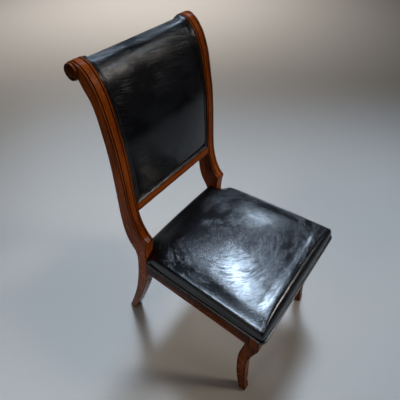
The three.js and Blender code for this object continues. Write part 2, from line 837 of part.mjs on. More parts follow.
function makeBackPad() {
  const outer = frontRun(padBottom, rollInset, []);
  const outerPart = entries(outer, 1).map((entry) => ({ ...entry, share: crownShare(entry.point.y) }));
  const roll = arc(scrollCentre, scrollRadius - rollInset, 90, rollEndAngle, rollSteps).slice(1);
  const down = boardPath.filter((q) => q.y > padBottom + arris).reverse();
  const still = [scrollCentre.clone(), ...down, v2(boardPath[0].x, padBottom)];
  const outline = [
    ...outerPart, ...entries(roll, 0),
    ...still.map((point) => ({ point, normal: v2(0, 0), share: 0 })),
  ];
  const half = postInner;
  const clear = boardThickness / 2 + gap;
  const hollow = across(entries(slab(lengthened(boardPath, boardThickness / 4), clear, clear), 0),
    [-half, half].map((x) => ({ x, inset: 0, mould: 0 })));
  const crest = [v2(0, -half), v2(crestRadius + gap, -half), v2(crestRadius + gap, half), v2(0, half)];
  const bar = turned(crest, roundSides, new THREE.Vector3(0, scrollCentre.x, scrollCentre.y), xAxis);
  return geometryOf(solid(across(outline, padStops())).subtract(solid(hollow)).subtract(solid(bar)));
}

// Outside back: a thin padded leather panel from under the roll to the cross rail's bottom edge
const outsideBackShares = [-1, -0.6, 0, 0.6, 1];

const outsideBottom = crossRailBottom + arris * 2;
const outsideTop = scrollCentre.y - scrollRadius - backInset;

// Inner face of the panel: behind the cross rail, then behind the board
function outsideFace() {
  const clear = offset(boardPath, -(boardThickness / 2 + gap));
  const corner = crossRailTop + gap;
  const railRear = Math.max(frontAt(crossRailTop) + crossRailDepth + gap, depthAt(clear, corner));
  return [
    v2(railRear, outsideBottom), v2(railRear, corner),
    ...clear.filter((q) => q.y > corner + arris && q.y < outsideTop - arris),
    v2(depthAt(clear, outsideTop), outsideTop),
  ];
}

function makeOutsideBack() {
  const face = outsideFace();
  const heights = [...face, ...backCurve].map((q) => q.y)
    .filter((z) => z >= outsideBottom && z <= outsideTop).sort((a, b) => b - a);
  const outer = heights.filter((z, i) => i === 0 || heights[i - 1] - z > arris)
    .map((z) => v2(Math.max(backAt(z) - backInset, depthAt(face, z) + backPanelLeast), z));
  outer[outer.length - 1].y = outsideBottom;
  const outline = [...entries(outer, 1), ...entries(face, 0)];
  const edge = postInner - gap;
  const stops = outsideBackShares.map((share) => ({
    x: share * edge, inset: 0, mould: -backCrown * (1 - share ** 2),
  }));
  return across(outline, stops);
}

// Double welt beside the posts and along the cross rail, one cord outside the other
function makeBackWelt(order) {
  const side = postInner - gap - backWeltRadius - order * backWeltPitch;
  const foot = padBottom + backWeltRadius + order * backWeltPitch;
  const over = arc(scrollCentre, scrollRadius, 90, backWeltEndAngle, weltTurnSteps).slice(1);
  const run = frontRun(foot, backWeltRadius + padLip, over);
  const up = run.slice(1).map((q) => new THREE.Vector3(side, q.x, q.y));
  const corner = new THREE.Vector3(side, run[0].x, foot);
  const half = rounded([new THREE.Vector3(0, corner.y, foot), corner, ...up.slice(0, 1)],
    backWeltPitch, turnSteps).slice(0, -1);
  const right = [...half, ...up];
  const left = right.slice(1).reverse().map((q) => new THREE.Vector3(-q.x, q.y, q.z));
  return cord([...left, ...right], backWeltRadius);
}

// Seat plan tables. Rear edge: place by notch width, freedom to bulge, nearness to a sunk corner
const rearEdgeShares = [[0, 1, 0], [0.33, 1, 0], [0.66, 0.9, 0], [0.9, 0.4, 0.3], [1, 0, 0.5]];
const sideEdgeShares = [0.07, 0.17, 0.34, 0.52, 0.7, 0.86];
const sideFreeShare = 0.17;
const sideSinkShare = 0.34;
const frontEdgeShares = [0.75, 0.5, 0.25, 0];
const frontTurnDegrees = [0, 30, 60, 90];
const frontCornerFreeShare = 0.6;
const frontCornerSinkShare = 0.35;
const rearTurnShare = 0.3;

// Seat outline in plan. Each point says how free the wall is to bulge there, and how near it is
// to a corner that the leather pulls down
function seatPlan(inset, z) {
  const notchY = frontAt(z) - notchGap;
  const rearY = seatSetback - inset;
  const notchX = postInner - notchGap - inset;
  const side = (y) => railOuterAt(y) + seatOverhang - inset;
  const frontY = blockFront - frontOverhang + inset;
  const frontTurn = Math.max(cornerRadius - inset, cornerRadius / 2);
  const rearTurn = rearCornerRadius;
  const points = [];
  const push = (x, y, share, corner, edge = false) => points.push({ x, y, share, corner, edge });
  rearEdgeShares.forEach(([width, free, sunk]) => push(notchX * width, rearY, free, sunk));
  const notchSunk = rearEdgeShares[rearEdgeShares.length - 1][2];
  const shoulderX = side(notchY) - rearTurn;
  push(notchX, (rearY + notchY) / 2, 0, notchSunk);
  push(notchX, notchY - inset, 0, notchSunk);
  push((notchX + shoulderX) / 2, notchY - inset, 0, (notchSunk + 1) / 2);
  push(shoulderX, notchY - inset, 0, 1);
  push(side(notchY) - rearTurn * rearTurnShare, notchY - inset - rearTurn * rearTurnShare, 0, 1);
  push(side(notchY), notchY - inset - rearTurn, 0, 1, true);
  for (const share of sideEdgeShares) {
    const y = THREE.MathUtils.lerp(notchY - rearTurn, frontY + frontTurn, share);
    const free = THREE.MathUtils.smoothstep(share, 0, sideFreeShare);
    push(side(y), y, free, 1 - THREE.MathUtils.smoothstep(share, 0, sideSinkShare), true);
  }
  const turnY = frontY + frontTurn;
  const frontX = side(turnY) - frontTurn;
  for (const degrees of frontTurnDegrees) {
    const x = frontX + frontTurn * Math.cos(radians(degrees));
    const y = turnY - frontTurn * Math.sin(radians(degrees));
    push(x, y, frontCornerFreeShare, frontCornerSinkShare, true);
  }
  for (const share of frontEdgeShares) push(frontX * share, frontY, 1, 0, true);
  const other = points.slice(1, -1).reverse().map((q) => ({ ...q, x: -q.x }));
  return [...points, ...other];
}

const seatCentreY = (blockFront + seatSetback) / 2;
const seatBase = railTop + gap;

// Ring sizes between which a corner starts to sink
const sinkSizeShares = [0.78, 0.95];

// One ring of the cushion: the plan drawn towards the centre, bulged and lifted
function seatRing(inset, [size, bulge, height]) {
  const lift = height * (crownHeight - inset);
  const z = seatBase + lift;
  const plan = seatPlan(inset, Math.min(z, stepHeight - cornerRadius));
  return plan.map((q, i) => {
    const before = plan[(i + plan.length - 1) % plan.length];
    const after = plan[(i + 1) % plan.length];
    const normal = v2(before.y - after.y, after.x - before.x).normalize();
    const near = THREE.MathUtils.smoothstep(size, ...sinkSizeShares);
    const drop = lift * cornerSinkShare * q.corner * near;
    const out = bulge * sideBulge * q.share;
    return new THREE.Vector3(q.x * size + normal.x * out,
      seatCentreY + (q.y - seatCentreY) * size + normal.y * out, z - drop);
  });
}

function seatShell(inset) {
  return seatRingShares.map((ring) => seatRing(inset, ring));
}

function apex(inset) {
  return new THREE.Vector3(0, seatCentreY, seatBase + crownHeight - inset);
}

function makeSeatCover() {
  const outer = seatShell(0).reverse();
  const inner = seatShell(leatherThickness);
  return ringStack([...outer, ...inner], apex(0), apex(leatherThickness));
}

function makeSeatFoam() {
  const inset = leatherThickness + gap;
  const bottom = seatBase + boardHeight + gap;
  const rings = seatShell(inset).slice(1).map((ring, i) => ring.map((q) => new THREE.Vector3(q.x, q.y,
    i === 0 ? bottom : Math.max(q.z, bottom + i * gap))));
  const low = new THREE.Vector3(0, seatCentreY, bottom);
  return ringStack(rings, low, apex(inset));
}

function makeSeatBoard() {
  const edge = seatPlan(boardInset, seatBase + boardClearShare * crownHeight);
  const plan = edge.map((q) => v2(q.x, q.y));
  return drilled(prism(plan, seatBase, seatBase + boardHeight),
    [...frontScrews.slice(2), ...rearScrews.slice(2)].flatMap((s) => [s, mirrorScrew(s)]));
}

// Dust cloth under the seat board, inside the rails and clear of the corner blocks
function makeDustCloth() {
  const x0 = railInnerAt(0) - clothInset;
  const x1 = railInnerAt(blockBack) - clothInset;
  const rear = rearRailSetback - clothInset;
  const front = frontRailBack + clothInset;
  const rearCut = blockLeg + clothInset * 2;
  const plan = [v2(-x0, rear - rearCut), v2(-x0 + rearCut, rear), v2(x0 - rearCut, rear),
    v2(x0, rear - rearCut), v2(x1, front + rearCut), v2(x1 - rearCut, front),
    v2(-x1 + rearCut, front), v2(-x1, front + rearCut)];
  return prism(plan, seatBase - gap - clothThickness, seatBase - gap);
}

// Double welt round the foot of the seat, from post to post by the front, and across the back
function makeSeatWelt(order) {
  const z = seatBase + weltRadius + order * weltPitch;
  const plan = seatPlan(-weltRadius - gap * 2, z).filter((q) => q.edge);
  return cord(plan.map((q) => new THREE.Vector3(q.x, q.y, z)), weltRadius);
}

function makeRearWelt(order) {
  const z = seatBase + weltRadius + order * weltPitch;
  const y = seatSetback + weltRadius + gap * 2;
  const reach = postInner - notchGap - weltRadius;
  const points = [-1, 0, 1].map((share) => new THREE.Vector3(share * reach, y, z));
  return cord(points, weltRadius);
}

// Rosette: a turned disc with a ring, its spigot glued in the post
// Face of the disc: ring widths in from its edge, and share of its height
const rosetteFaceShares = [[0, 0.6], [0.6, 0.85], [2, 0.85], [2.6, 0.6], [3.4, 0.75]];
const rosetteCrownShare = 0.3;

function makeRosette() {
  const face = rosetteFaceShares.map(([rings, height]) => v2(
    rosetteRadius - rosetteRing * rings, rosetteHeight * height));
  const profile = [v2(0, -spigotLength), v2(spigotRadius, -spigotLength), v2(spigotRadius, gap),
    v2(rosetteRadius, gap), ...face, v2(rosetteRadius * rosetteCrownShare, rosetteHeight),
    v2(0, rosetteHeight)];
  return turned(profile, roundSides, new THREE.Vector3(-postOuter, scrollCentre.x, scrollCentre.y),
    xAxis.clone().negate());
}

function makeGlide(x, y) {
  const profile = [v2(0, 0), v2(glideRadius - glideEdge, 0), v2(glideRadius, glideEdge),
    v2(glideRadius, glideHeight - gap), v2(glidePinRadius, glideHeight - gap),
    v2(glidePinRadius, glideHeight + glidePinLength), v2(0, glideHeight + glidePinLength)];
  return turned(profile, roundSides, new THREE.Vector3(x, y, 0), zAxis);
}

// Assembly: frame
addPair('back_post', makePost(), wood);
addPair('front_leg', makeFrontLeg(), wood);
addPair('seat_rail', makeSideRail(), wood);
add('front_seat_rail', makeFrontRail(), wood);
add('rear_seat_rail', makeRearRail(), wood);
add('back_cross_rail', makeCrossRail(), wood);
add('crest_rail', makeCrestRail(), bareWood);
addPair('scroll_rosette', makeRosette(), wood);

// Assembly: corner blocks, screws and glides
addPair('front_corner_block', drilled(prism(frontPlan, blockBottom, blockTop), frontScrews), bareWood);
addPair('rear_corner_block', drilled(prism(rearPlan, blockBottom, blockTop), rearScrews), bareWood);
[...frontScrews, ...rearScrews].forEach((screw) => {
  const geometry = turned(screwProfile(screw.length, 0), smallSides, screw.start, screw.axis);
  addPair(screw.name, geometry, steel);
});
addPair('front_glide', makeGlide(-frontOuter + frontFootWidth / 2, frontFootY), nylon);
addPair('rear_glide', makeGlide(-postOuter + postWidth / 2, rearFootY), nylon);

// Assembly: seat
add('seat_board', makeSeatBoard(), plywood);
add('seat_foam', makeSeatFoam(), foam);
add('seat_cover', makeSeatCover(), leather);
add('seat_dust_cloth', makeDustCloth(), cloth);
['lower', 'upper'].forEach((name, order) => {
  add(`seat_welt_${name}`, makeSeatWelt(order), leather);
  add(`rear_seat_welt_${name}`, makeRearWelt(order), leather);
});

// Assembly: upholstered back
add('back_board', makeBackBoard(), plywood);
add('back_pad', makeBackPad(), leather);
add('outside_back', makeOutsideBack(), leather);
['outer', 'inner'].forEach((name, order) => {
  add(`back_welt_${name}`, makeBackWelt(order), leather);
});

// The origin lies on the floor under the middle of the chair
const bounds = new THREE.Box3().setFromObject(chair);
chair.position.y = -(bounds.min.y + bounds.max.y) / 2;
chair.updateMatrixWorld(true);

export default chair;
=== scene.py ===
"""Scroll-back dining chair: polished wood frame, black leather seat and back.

The sizes are in metres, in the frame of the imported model: +X is the sitter's left, +Y the back, +Z up.
Depths of the side outlines are measured from the step arris of the back posts.
"""

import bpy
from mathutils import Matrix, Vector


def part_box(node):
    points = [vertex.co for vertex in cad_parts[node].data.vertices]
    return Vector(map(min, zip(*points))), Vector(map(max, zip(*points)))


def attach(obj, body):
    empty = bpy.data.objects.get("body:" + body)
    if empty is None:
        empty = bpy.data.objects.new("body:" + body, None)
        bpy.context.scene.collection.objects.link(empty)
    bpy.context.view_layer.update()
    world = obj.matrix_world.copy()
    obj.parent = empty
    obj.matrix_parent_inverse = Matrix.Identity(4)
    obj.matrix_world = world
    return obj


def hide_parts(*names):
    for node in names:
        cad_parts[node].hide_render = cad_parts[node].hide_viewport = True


bl_info = {
    "name": "Scroll-back dining chair",
    "version": (1, 0, 0),
    "blender": (4, 5, 0),
    "location": "View3D > Sidebar > Chair",
    "description": "Builds a klismos chair with leather upholstery around its packed frame",
    "category": "Object",
}

import math

import bpy
import numpy as np
from bpy.props import FloatProperty, FloatVectorProperty, PointerProperty
from mathutils import Matrix, Vector

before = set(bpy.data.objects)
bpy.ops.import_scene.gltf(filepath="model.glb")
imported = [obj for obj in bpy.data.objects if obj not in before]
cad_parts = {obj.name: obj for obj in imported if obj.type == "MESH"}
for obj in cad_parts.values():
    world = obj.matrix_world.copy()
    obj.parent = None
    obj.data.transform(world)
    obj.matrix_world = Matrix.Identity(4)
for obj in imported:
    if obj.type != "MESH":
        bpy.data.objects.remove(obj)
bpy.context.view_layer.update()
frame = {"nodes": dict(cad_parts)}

POST_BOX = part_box("right_back_post")
LEG_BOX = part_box("right_front_leg")
RAIL_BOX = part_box("front_seat_rail")
CROSS_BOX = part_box("back_cross_rail")
COVER_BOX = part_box("seat_cover")
STEP_Y = POST_BOX[0].y

# Side outline of the post: depth behind the step by rake, height above the step by upper height
UPPER_FRONT_SHARES = [
    (0, 0), (0.045, 0.012), (0.13, 0.036), (0.242, 0.097), (0.306, 0.169), (0.333, 0.259),
    (0.338, 0.44), (0.358, 0.591), (0.405, 0.69), (0.467, 0.806), (0.575, 0.898),
    (0.695, 0.952), (0.83, 0.986), (1, 1),
]
# Rear leg: depth behind the step by foot reach, height by step height
LOWER_FRONT_SHARES = [
    (1, 0), (0.8, 0.132), (0.624, 0.253), (0.447, 0.381), (0.305, 0.494), (0.213, 0.593),
    (0.135, 0.704), (0.092, 0.792), (0.07, 0.872), (0.045, 0.939), (0, 1),
]
# Back edge: height by step height and thickness by post depth, then above the step, where the height is
# by the rise to the scroll's underside
LOWER_BACK_SHARES = [
    (0, 0.737), (0.091, 0.763), (0.221, 0.803), (0.372, 0.895), (0.508, 1.026), (0.628, 1.053),
    (0.735, 1.066), (0.818, 1.079), (0.877, 1.21), (0.915, 1.526), (0.955, 1.9),
]
UPPER_BACK_SHARES = [
    (0.015, 2.05), (0.082, 1.56), (0.157, 1.276), (0.227, 1.13), (0.359, 1), (0.497, 0.92),
    (0.591, 0.88), (0.685, 0.84), (0.76, 0.8), (0.827, 0.785), (0.876, 0.8), (0.923, 0.84),
    (0.967, 1.0),
]
SCROLL_LEAD_SHARES = (-0.54, 0.28)
# Where the leather of the roll ends, by the angle about the scroll's centre
ROLL_END = math.radians(-105)
# Front leg below its block: depth by leg drop, height by the rail's bottom
LEG_FRONT_SHARES = [
    (0.239, 0), (0.304, 0.136), (0.326, 0.255), (0.353, 0.438), (0.348, 0.6), (0.283, 0.73),
    (0.152, 0.864), (0.02, 0.965),
]
LEG_BACK_SHARES = [
    (0.554, 0), (0.511, 0.023), (0.598, 0.148), (0.674, 0.313), (0.702, 0.455), (0.707, 0.614),
    (0.674, 0.739), (0.576, 0.881),
]
# How far the cushion falls below its dome, by its crown, against the distance from an edge in metres: at the
# sides, at the front, at the rear, and at the sides beside a post, where the leather is pulled down
SIDE_FALL_SHARES = [
    (0, 0.40), (0.0006, 0.291), (0.0022, 0.184), (0.0048, 0.109), (0.008, 0.080), (0.011, 0.082),
    (0.014, 0.082), (0.02, 0.078), (0.035, 0.056), (0.05, 0.03), (0.06, 0.021), (0.08, 0.009),
    (0.1, 0.002), (0.13, 0), (0.4, 0),
]
FRONT_FALL_SHARES = [
    (0, 0.46), (0.0006, 0.371), (0.003, 0.254), (0.008, 0.121), (0.013, 0.0435), (0.018, 0.0073),
    (0.024, -0.0067), (0.03, -0.0079), (0.037, -0.003), (0.043, 0.0093), (0.05, 0.0216), (0.058, 0.0267),
    (0.066, 0.0254), (0.08, 0.0248), (0.1, 0.0244), (0.13, 0.0178), (0.16, 0.0118), (0.2, 0.003),
    (0.25, 0), (0.6, 0),
]
REAR_FALL_SHARES = [
    (0, 0.48), (0.0006, 0.40), (0.003, 0.294), (0.007, 0.20), (0.013, 0.098), (0.02, 0.038),
    (0.03, 0.0106), (0.05, 0), (0.6, 0),
]
SUNK_FALL_SHARES = [
    (0, 0.54), (0.002, 0.50), (0.0045, 0.47), (0.009, 0.43), (0.02, 0.37), (0.03, 0.22), (0.04, 0.12),
    (0.05, 0.07), (0.07, 0.03), (0.1, 0.005), (0.13, 0), (0.4, 0),
]


def length(name, default, description):
    """A size in metres, shown with its unit."""
    return FloatProperty(name=name, default=default, description=description, unit="LENGTH",
                         min=0, precision=4)


def share(name, default, description):
    """A plain number from 0 to 1."""
    return FloatProperty(name=name, default=default, description=description, subtype="FACTOR",
                         min=0, max=1)


def plain(name, default, description):
    """A plain number without a unit."""
    return FloatProperty(name=name, default=default, description=description, subtype="UNSIGNED", min=0)


def colour(name, default, description):
    """A linear colour."""
    return FloatVectorProperty(name=name, default=default, description=description, size=3,
                               subtype="COLOR", min=0, max=1)


class ChairSizes(bpy.types.PropertyGroup):
    """Sizes of the chair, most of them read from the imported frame."""

    height: length("Height", POST_BOX[1].z, "Top of the scrolls above the floor")
    step_height: length("Step height", 0.506, "Step arris of the posts above the floor")
    post_outer: length("Post outer face", -POST_BOX[0].x, "Outer face of the posts from the middle")
    post_width: length("Post width", POST_BOX[1].x - POST_BOX[0].x, "Width of the posts, side to side")
    post_depth: length("Post depth", 0.038, "Thickness that the post's shares scale")
    rake: length("Rake", 0.1425, "Depth of the scroll's centre behind the step")
    foot_reach: length("Foot reach", 0.141, "Depth of the rear foot behind the step")
    scroll_radius: length("Scroll radius", 0.023, "Radius of the scroll")
    arris: length("Arris", 0.0016, "Rounding of the wood's edges")
    bead_width: length("Bead width", 0.0075, "Outer edge of the moulding's beads")
    groove_width: length("Groove width", 0.0026, "Width of the moulding's grooves")
    groove_depth: length("Groove depth", 0.0022, "Depth of the moulding's grooves")
    quirk: length("Quirk", 0.0014, "Depth of the fillet between side face and bead")
    glide_height: length("Glide height", POST_BOX[0].z, "Height of the feet above the floor")
    rail_thickness: length("Rail thickness", 0.024, "Thickness of the side seat rails")
    rail_bottom: length("Rail bottom", RAIL_BOX[0].z, "Underside of the seat rails")
    rail_top: length("Rail top", RAIL_BOX[1].z, "Upper edge of the seat rails")
    leg_drop: length("Leg drop", 0.092, "Depth that the front leg's shares scale")
    leg_block: length("Leg block", 0.0345, "Depth of the front leg's block")
    leg_ear: length("Leg ear", 0.0095, "Reach of the front leg under the side rail")
    leg_foot: length("Foot width", 0.0285, "Width of the front foot")
    cross_bead: length("Cross rail bead", 0.0034, "Radius of the bead along the cross rail")
    cross_depth: length("Cross rail depth", 0.03, "Depth of the cross rail, front to back")
    rosette_radius: length("Rosette radius", 0.021, "Radius of the scroll rosettes")
    rosette_height: length("Rosette height", 0.009, "How far the rosettes stand out from the posts")
    gap: length("Gap", 0.0003, "Clearance between neighbouring pieces")


class UpholsterySizes(bpy.types.PropertyGroup):
    """Sizes of seat and back upholstery."""

    crown: length("Crown", COVER_BOX[1].z - COVER_BOX[0].z, "Height of the seat's crown over the rails")
    overhang: length("Overhang", 0.0015, "Overhang of the seat over the side rails")
    front_overhang: length("Front overhang", 0.011, "Overhang of the seat over the front legs")
    setback: length("Setback", 0.049, "Depth of the seat's rear edge behind the step")
    bulge: length("Bulge", 0.003, "Swell of the seat's sides")
    corner_radius: length("Corner radius", 0.011, "Plan radius of the seat's front corners")
    rear_radius: length("Rear radius", 0.009, "Plan radius of the seat's corners at the posts")
    notch_gap: length("Notch gap", 0.002, "Space round the posts where the seat is notched")
    sink_reach: length("Sink reach", 0.03, "How far from the posts the leather is pulled down")
    notch_sink: share("Notch sink", 0.06, "Fall of the cushion round the posts by its crown")
    side_dome: share("Side dome", 0.22, "Fall of the dome from the middle to a side by the crown")
    front_dome: share("Front dome", 0.18, "Fall of the dome from the middle to the front by the crown")
    corner_lift: share("Corner lift", 0.12, "How much less the dome falls at the corners")
    mitre: plain("Mitre", 60, "How sharply the edges meet at the corners")
    welt_radius: length("Welt radius", 0.0027, "Radius of the seat's welt cords")
    welt_pitch: length("Welt pitch", 0.0057, "Distance between the seat's welt cords")
    roll_inset: length("Roll inset", 0.0075, "How far the leather roll lies inside the scrolls")
    pad_crown: length("Pad crown", 0.012, "Crown of the back's front pad")
    welt_strip: length("Welt strip", 0.0125, "Width of the strip under the back's welts")
    pad_lip: length("Pad lip", 0.002, "Depth of the pad's edge beside the welts")
    back_welt_radius: length("Back welt radius", 0.0024, "Radius of the back's welt cords")
    back_welt_pitch: length("Back welt pitch", 0.0052, "Distance between the back's welt cords")
    panel_inset: length("Panel inset", 0.005, "How far the outside back lies inside the posts' rear edge")
    panel_thickness: length("Panel thickness", 0.004, "Thickness of the outside back")
    cloth_cut: length("Cloth cut", 0.064, "How much is cut off each corner of the dust cloth")
    cloth_sag: length("Cloth sag", 0.0015, "How far the dust cloth hangs down in the middle")
    cloth_thickness: length("Cloth thickness", 0.0006, "Thickness of the dust cloth")


class ChairColours(bpy.types.PropertyGroup):
    """Colours of the finishes, in linear light."""

    wood: colour("Wood", (0.23, 0.05, 0.006), "Polished red-brown wood")
    wood_dark: colour("Dark wood", (0.08, 0.015, 0.002), "Dark figure of the polished wood")
    # The dark colour below stands for glazing in the mouldings and for painted shade in hollows, along edges
    # and at joints between parts.
    glaze_and_shade: colour("Glaze", (0.006, 0.0025, 0.0015), "Dark glaze left in mouldings and along edges")
    leather: colour("Leather", (0.002, 0.0022, 0.003), "Black finished leather")
    leather_worn: colour("Worn leather", (0.004, 0.0046, 0.0065), "High spots of the leather")
    bare_wood: colour("Bare wood", (0.40, 0.22, 0.09), "Unfinished beech and plywood")
    cloth: colour("Cloth", (0.012, 0.012, 0.013), "Black dust cloth")
    metal: colour("Metal", (0.52, 0.48, 0.36), "Zinc plated steel")
    nylon: colour("Nylon", (0.02, 0.016, 0.014), "Plastic of the glides")
    foam: colour("Foam", (0.6, 0.55, 0.35), "Foam of the seat")
    floor: colour("Floor", (0.38, 0.35, 0.32), "Studio floor")


class StudioSettings(bpy.types.PropertyGroup):
    """Camera and lights."""

    camera_place: FloatVectorProperty(name="Camera place", default=(-0.7055, -0.4592, 1.4063),
                                      description="Where the camera stands", size=3, subtype="XYZ",
                                      unit="LENGTH")
    azimuth: FloatProperty(name="Azimuth", default=math.radians(-52.27), subtype="ANGLE", unit="ROTATION",
                           description="Turn of the view about the vertical")
    elevation: FloatProperty(name="Elevation", default=math.radians(43.3), subtype="ANGLE",
                             unit="ROTATION", description="How far the camera looks down")
    roll: FloatProperty(name="Roll", default=math.radians(-1.74), subtype="ANGLE", unit="ROTATION",
                        description="Turn of the camera about its line of sight")
    lens: FloatProperty(name="Lens", default=33.31, description="Focal length on a 36 mm sensor",
                        unit="CAMERA", min=1)


def sizes():
    return bpy.context.scene.chair_sizes


def pads():
    return bpy.context.scene.chair_pads


def colours():
    return bpy.context.scene.chair_colours


# Curves


def smooth_run(knots, count):
    """Catmull-Rom curve through the knots, as count points evenly spaced along it."""
    knots = np.asarray(knots, float)
    padded = np.vstack([knots[:1], knots, knots[-1:]])
    t = np.linspace(0, len(knots) - 1, 40 * len(knots))
    i = np.minimum(t.astype(int), len(knots) - 2)
    w = (t - i)[:, None]
    a, b, c, d = padded[i], padded[i + 1], padded[i + 2], padded[i + 3]
    v0, v1 = (c - a) / 2, (d - b) / 2
    points = (2 * b - 2 * c + v0 + v1) * w**3 + (3 * c - 3 * b - 2 * v0 - v1) * w**2 + v0 * w + b
    return spaced(points, count)


def travelled(points):
    """Distance along a run of points, at each of them."""
    return np.concatenate([[0], np.cumsum(np.linalg.norm(np.diff(points, axis=0), axis=1))])


def directions(points):
    """Unit tangents of a run of points."""
    along = np.gradient(points, axis=0)
    return along / np.linalg.norm(along, axis=1)[:, None]


def spaced(points, count):
    """The same run of points with count of them, evenly spaced along it."""
    along = travelled(points)
    wanted = np.linspace(0, along[-1], count)
    return np.stack([np.interp(wanted, along, points[:, k]) for k in range(points.shape[1])], 1)


def arc(centre, radius, start, stop, count):
    """Points on a circle from angle start to angle stop, in degrees."""
    angle = np.radians(np.linspace(start, stop, count))
    return np.stack([centre[0] + radius * np.cos(angle), centre[1] + radius * np.sin(angle)], 1)


def softened(before, after, span, count=6, split=False):
    """Two runs that meet at a corner, joined by a parabola from span before it to span after it.
    When split is true, the halves on either side of the parabola's middle come back as two runs."""
    corner = before[-1]
    first = before[np.linalg.norm(before - corner, axis=1) > span]
    second = after[np.linalg.norm(after - corner, axis=1) > span]
    a = corner + (first[-1] - corner) * span / np.linalg.norm(first[-1] - corner)
    b = corner + (second[0] - corner) * span / np.linalg.norm(second[0] - corner)
    t = np.linspace(0, 1, count)[:, None]
    bend = (1 - t) ** 2 * a + 2 * t * (1 - t) * corner + t**2 * b
    if split:
        return np.vstack([first, bend[:count // 2 + 1]]), np.vstack([bend[count // 2:], second])
    return np.vstack([first, bend, second])


def mitre_normals(loop):
    """Outward normals of a closed loop, lengthened at corners so that an offset keeps its width."""
    edge = np.roll(loop, -1, 0) - loop
    edge /= np.linalg.norm(edge, axis=1)[:, None]
    after = np.stack([-edge[:, 1], edge[:, 0]], 1)
    before = np.roll(after, 1, 0)
    dot = np.sum(before * after, 1)[:, None]
    return (before + after) / (1 + np.maximum(dot, -0.5))


def smoothstep(value, low, high):
    """0 below low, 1 above high, and 3t² - 2t³ between them."""
    t = np.clip((value - low) / (high - low), 0, 1)
    return t * t * (3 - 2 * t)


def fading(distance, reach):
    """1 at no distance, and exp(-(distance / reach)²) away from it."""
    return np.exp(-(distance / reach) ** 2)


# Meshes


def mesh_object(name, points, faces, loops=(), glaze_and_shade=None, lay=None):
    """Object from points and quads, with any extra polygons; its faces are turned to point outwards.
    Each point may also carry its share of dark glazing and painted shade, and lay is where the leather's
    stretch lines read it."""
    points = np.asarray(points, float)
    faces = np.asarray(faces, int)
    if not np.isfinite(points).all():
        raise ValueError(f"{name}: its sizes leave a point without a place")
    volume = signed_volume(points, faces, loops)
    if abs(volume) < 1e-12:
        raise ValueError(f"{name}: its sizes leave it flat")
    if volume < 0:
        faces = faces[:, ::-1]
        loops = [list(loop)[::-1] for loop in loops]
    mesh = bpy.data.meshes.new(name)
    mesh.from_pydata(points.tolist(), [], faces.tolist() + [list(map(int, loop)) for loop in loops])
    mesh.validate()
    mesh.shade_smooth()
    if glaze_and_shade is not None:
        layer = mesh.attributes.new("glaze_and_shade", "FLOAT", "POINT")
        layer.data.foreach_set("value", np.asarray(glaze_and_shade, np.float32).ravel())
    if lay is not None:
        layer = mesh.attributes.new("lay", "FLOAT_VECTOR", "POINT")
        layer.data.foreach_set("vector", np.asarray(lay, np.float32).ravel())
    piece = bpy.data.objects.new(name, mesh)
    bpy.context.scene.collection.objects.link(piece)
    return piece


def signed_volume(points, faces, loops):
    """Six times the volume: the sum over triangles of a · (b × c)."""
    tris = [faces[:, [0, 1, 2]], faces[:, [0, 2, 3]]]
    for loop in loops:
        loop = np.asarray(loop, int)
        tris.append(np.stack([np.full(len(loop) - 2, loop[0]), loop[1:-1], loop[2:]], 1))
    tris = np.vstack(tris)
    a, b, c = points[tris[:, 0]], points[tris[:, 1]], points[tris[:, 2]]
    return float(np.sum(a * np.cross(b, c)))


def ring_faces(rings, count):
    """Quads between neighbouring rings of count points each."""
    index = np.arange(rings * count).reshape(rings, count)
    right = np.roll(index, -1, 1)
    return np.stack([index[:-1], right[:-1], right[1:], index[1:]], -1).reshape(-1, 4)


def end_loops(rings, count):
    """Polygons that close the first and the last of the rings."""
    last = (rings - 1) * count
    return [list(range(count))[::-1], list(range(last, last + count))]


def tube(name, path, radius, sides=14):
    """Cord along a path: each ring is the circle of the radius about the path in the plane across it.
    The plane's first direction is the up vector less its part along the path."""
    along = directions(path)
    side = carried_sides(along)
    other = np.cross(along, side)
    angle = np.linspace(0, 2 * np.pi, sides, endpoint=False)
    points = path[:, None] + radius * (np.cos(angle)[None, :, None] * side[:, None]
                                       + np.sin(angle)[None, :, None] * other[:, None])
    return mesh_object(name, points.reshape(-1, 3), ring_faces(len(path), sides),
                       end_loops(len(path), sides))


def carried_sides(along):
    """Side vectors that turn as little as they can along a run: each is the last less its part along."""
    side = np.zeros_like(along)
    start = np.array([0.0, 0.0, 1.0]) if abs(along[0, 2]) < 0.5 else np.array([1.0, 0.0, 0.0])
    for i, direction in enumerate(along):
        start = start - direction * np.dot(start, direction)
        start /= np.linalg.norm(start)
        side[i] = start
    return side


def carried(name, outline, across, depth, glaze_and_shade=None, lean=0.0, rungs=None):
    """Closed side outline of depth and height, carried across the chair: the point of column i and row j is
    the outline's point i moved inward by depth[j, i] along its normal, at x = across[j] + lean times depth.
    With rungs, the ends are closed by a grid of straight rungs between the outline's first and second
    half, with a vertex at each distance of rungs from both of its ends; without, by one polygon each."""
    normals = mitre_normals(outline)
    rows, count = len(across), len(outline)
    depth = np.broadcast_to(depth, (rows, count))
    flat = outline[None] - normals[None] * depth[..., None]
    x = np.broadcast_to(np.asarray(across, float)[:, None], (rows, count)) + lean * flat[..., 0]
    points = np.stack([x, flat[..., 0] + STEP_Y, flat[..., 1]], -1)
    faces = ring_faces(rows, count)
    if rungs is None:
        return mesh_object(name, points.reshape(-1, 3), faces, end_loops(rows, count), glaze_and_shade)
    parts, dark, grids = [points.reshape(-1, 3)], [np.asarray(glaze_and_shade).reshape(-1)], [faces]
    start = rows * count
    for row, turned in ((0, True), (rows - 1, False)):
        fill, fill_dark, quads = ladder(points[row], glaze_and_shade[row], rungs, row * count, start)
        parts.append(fill)
        dark.append(fill_dark)
        grids.append(quads[:, ::-1] if turned else quads)
        start += len(fill)
    return mesh_object(name, np.vstack(parts), np.vstack(grids), (), np.concatenate(dark))


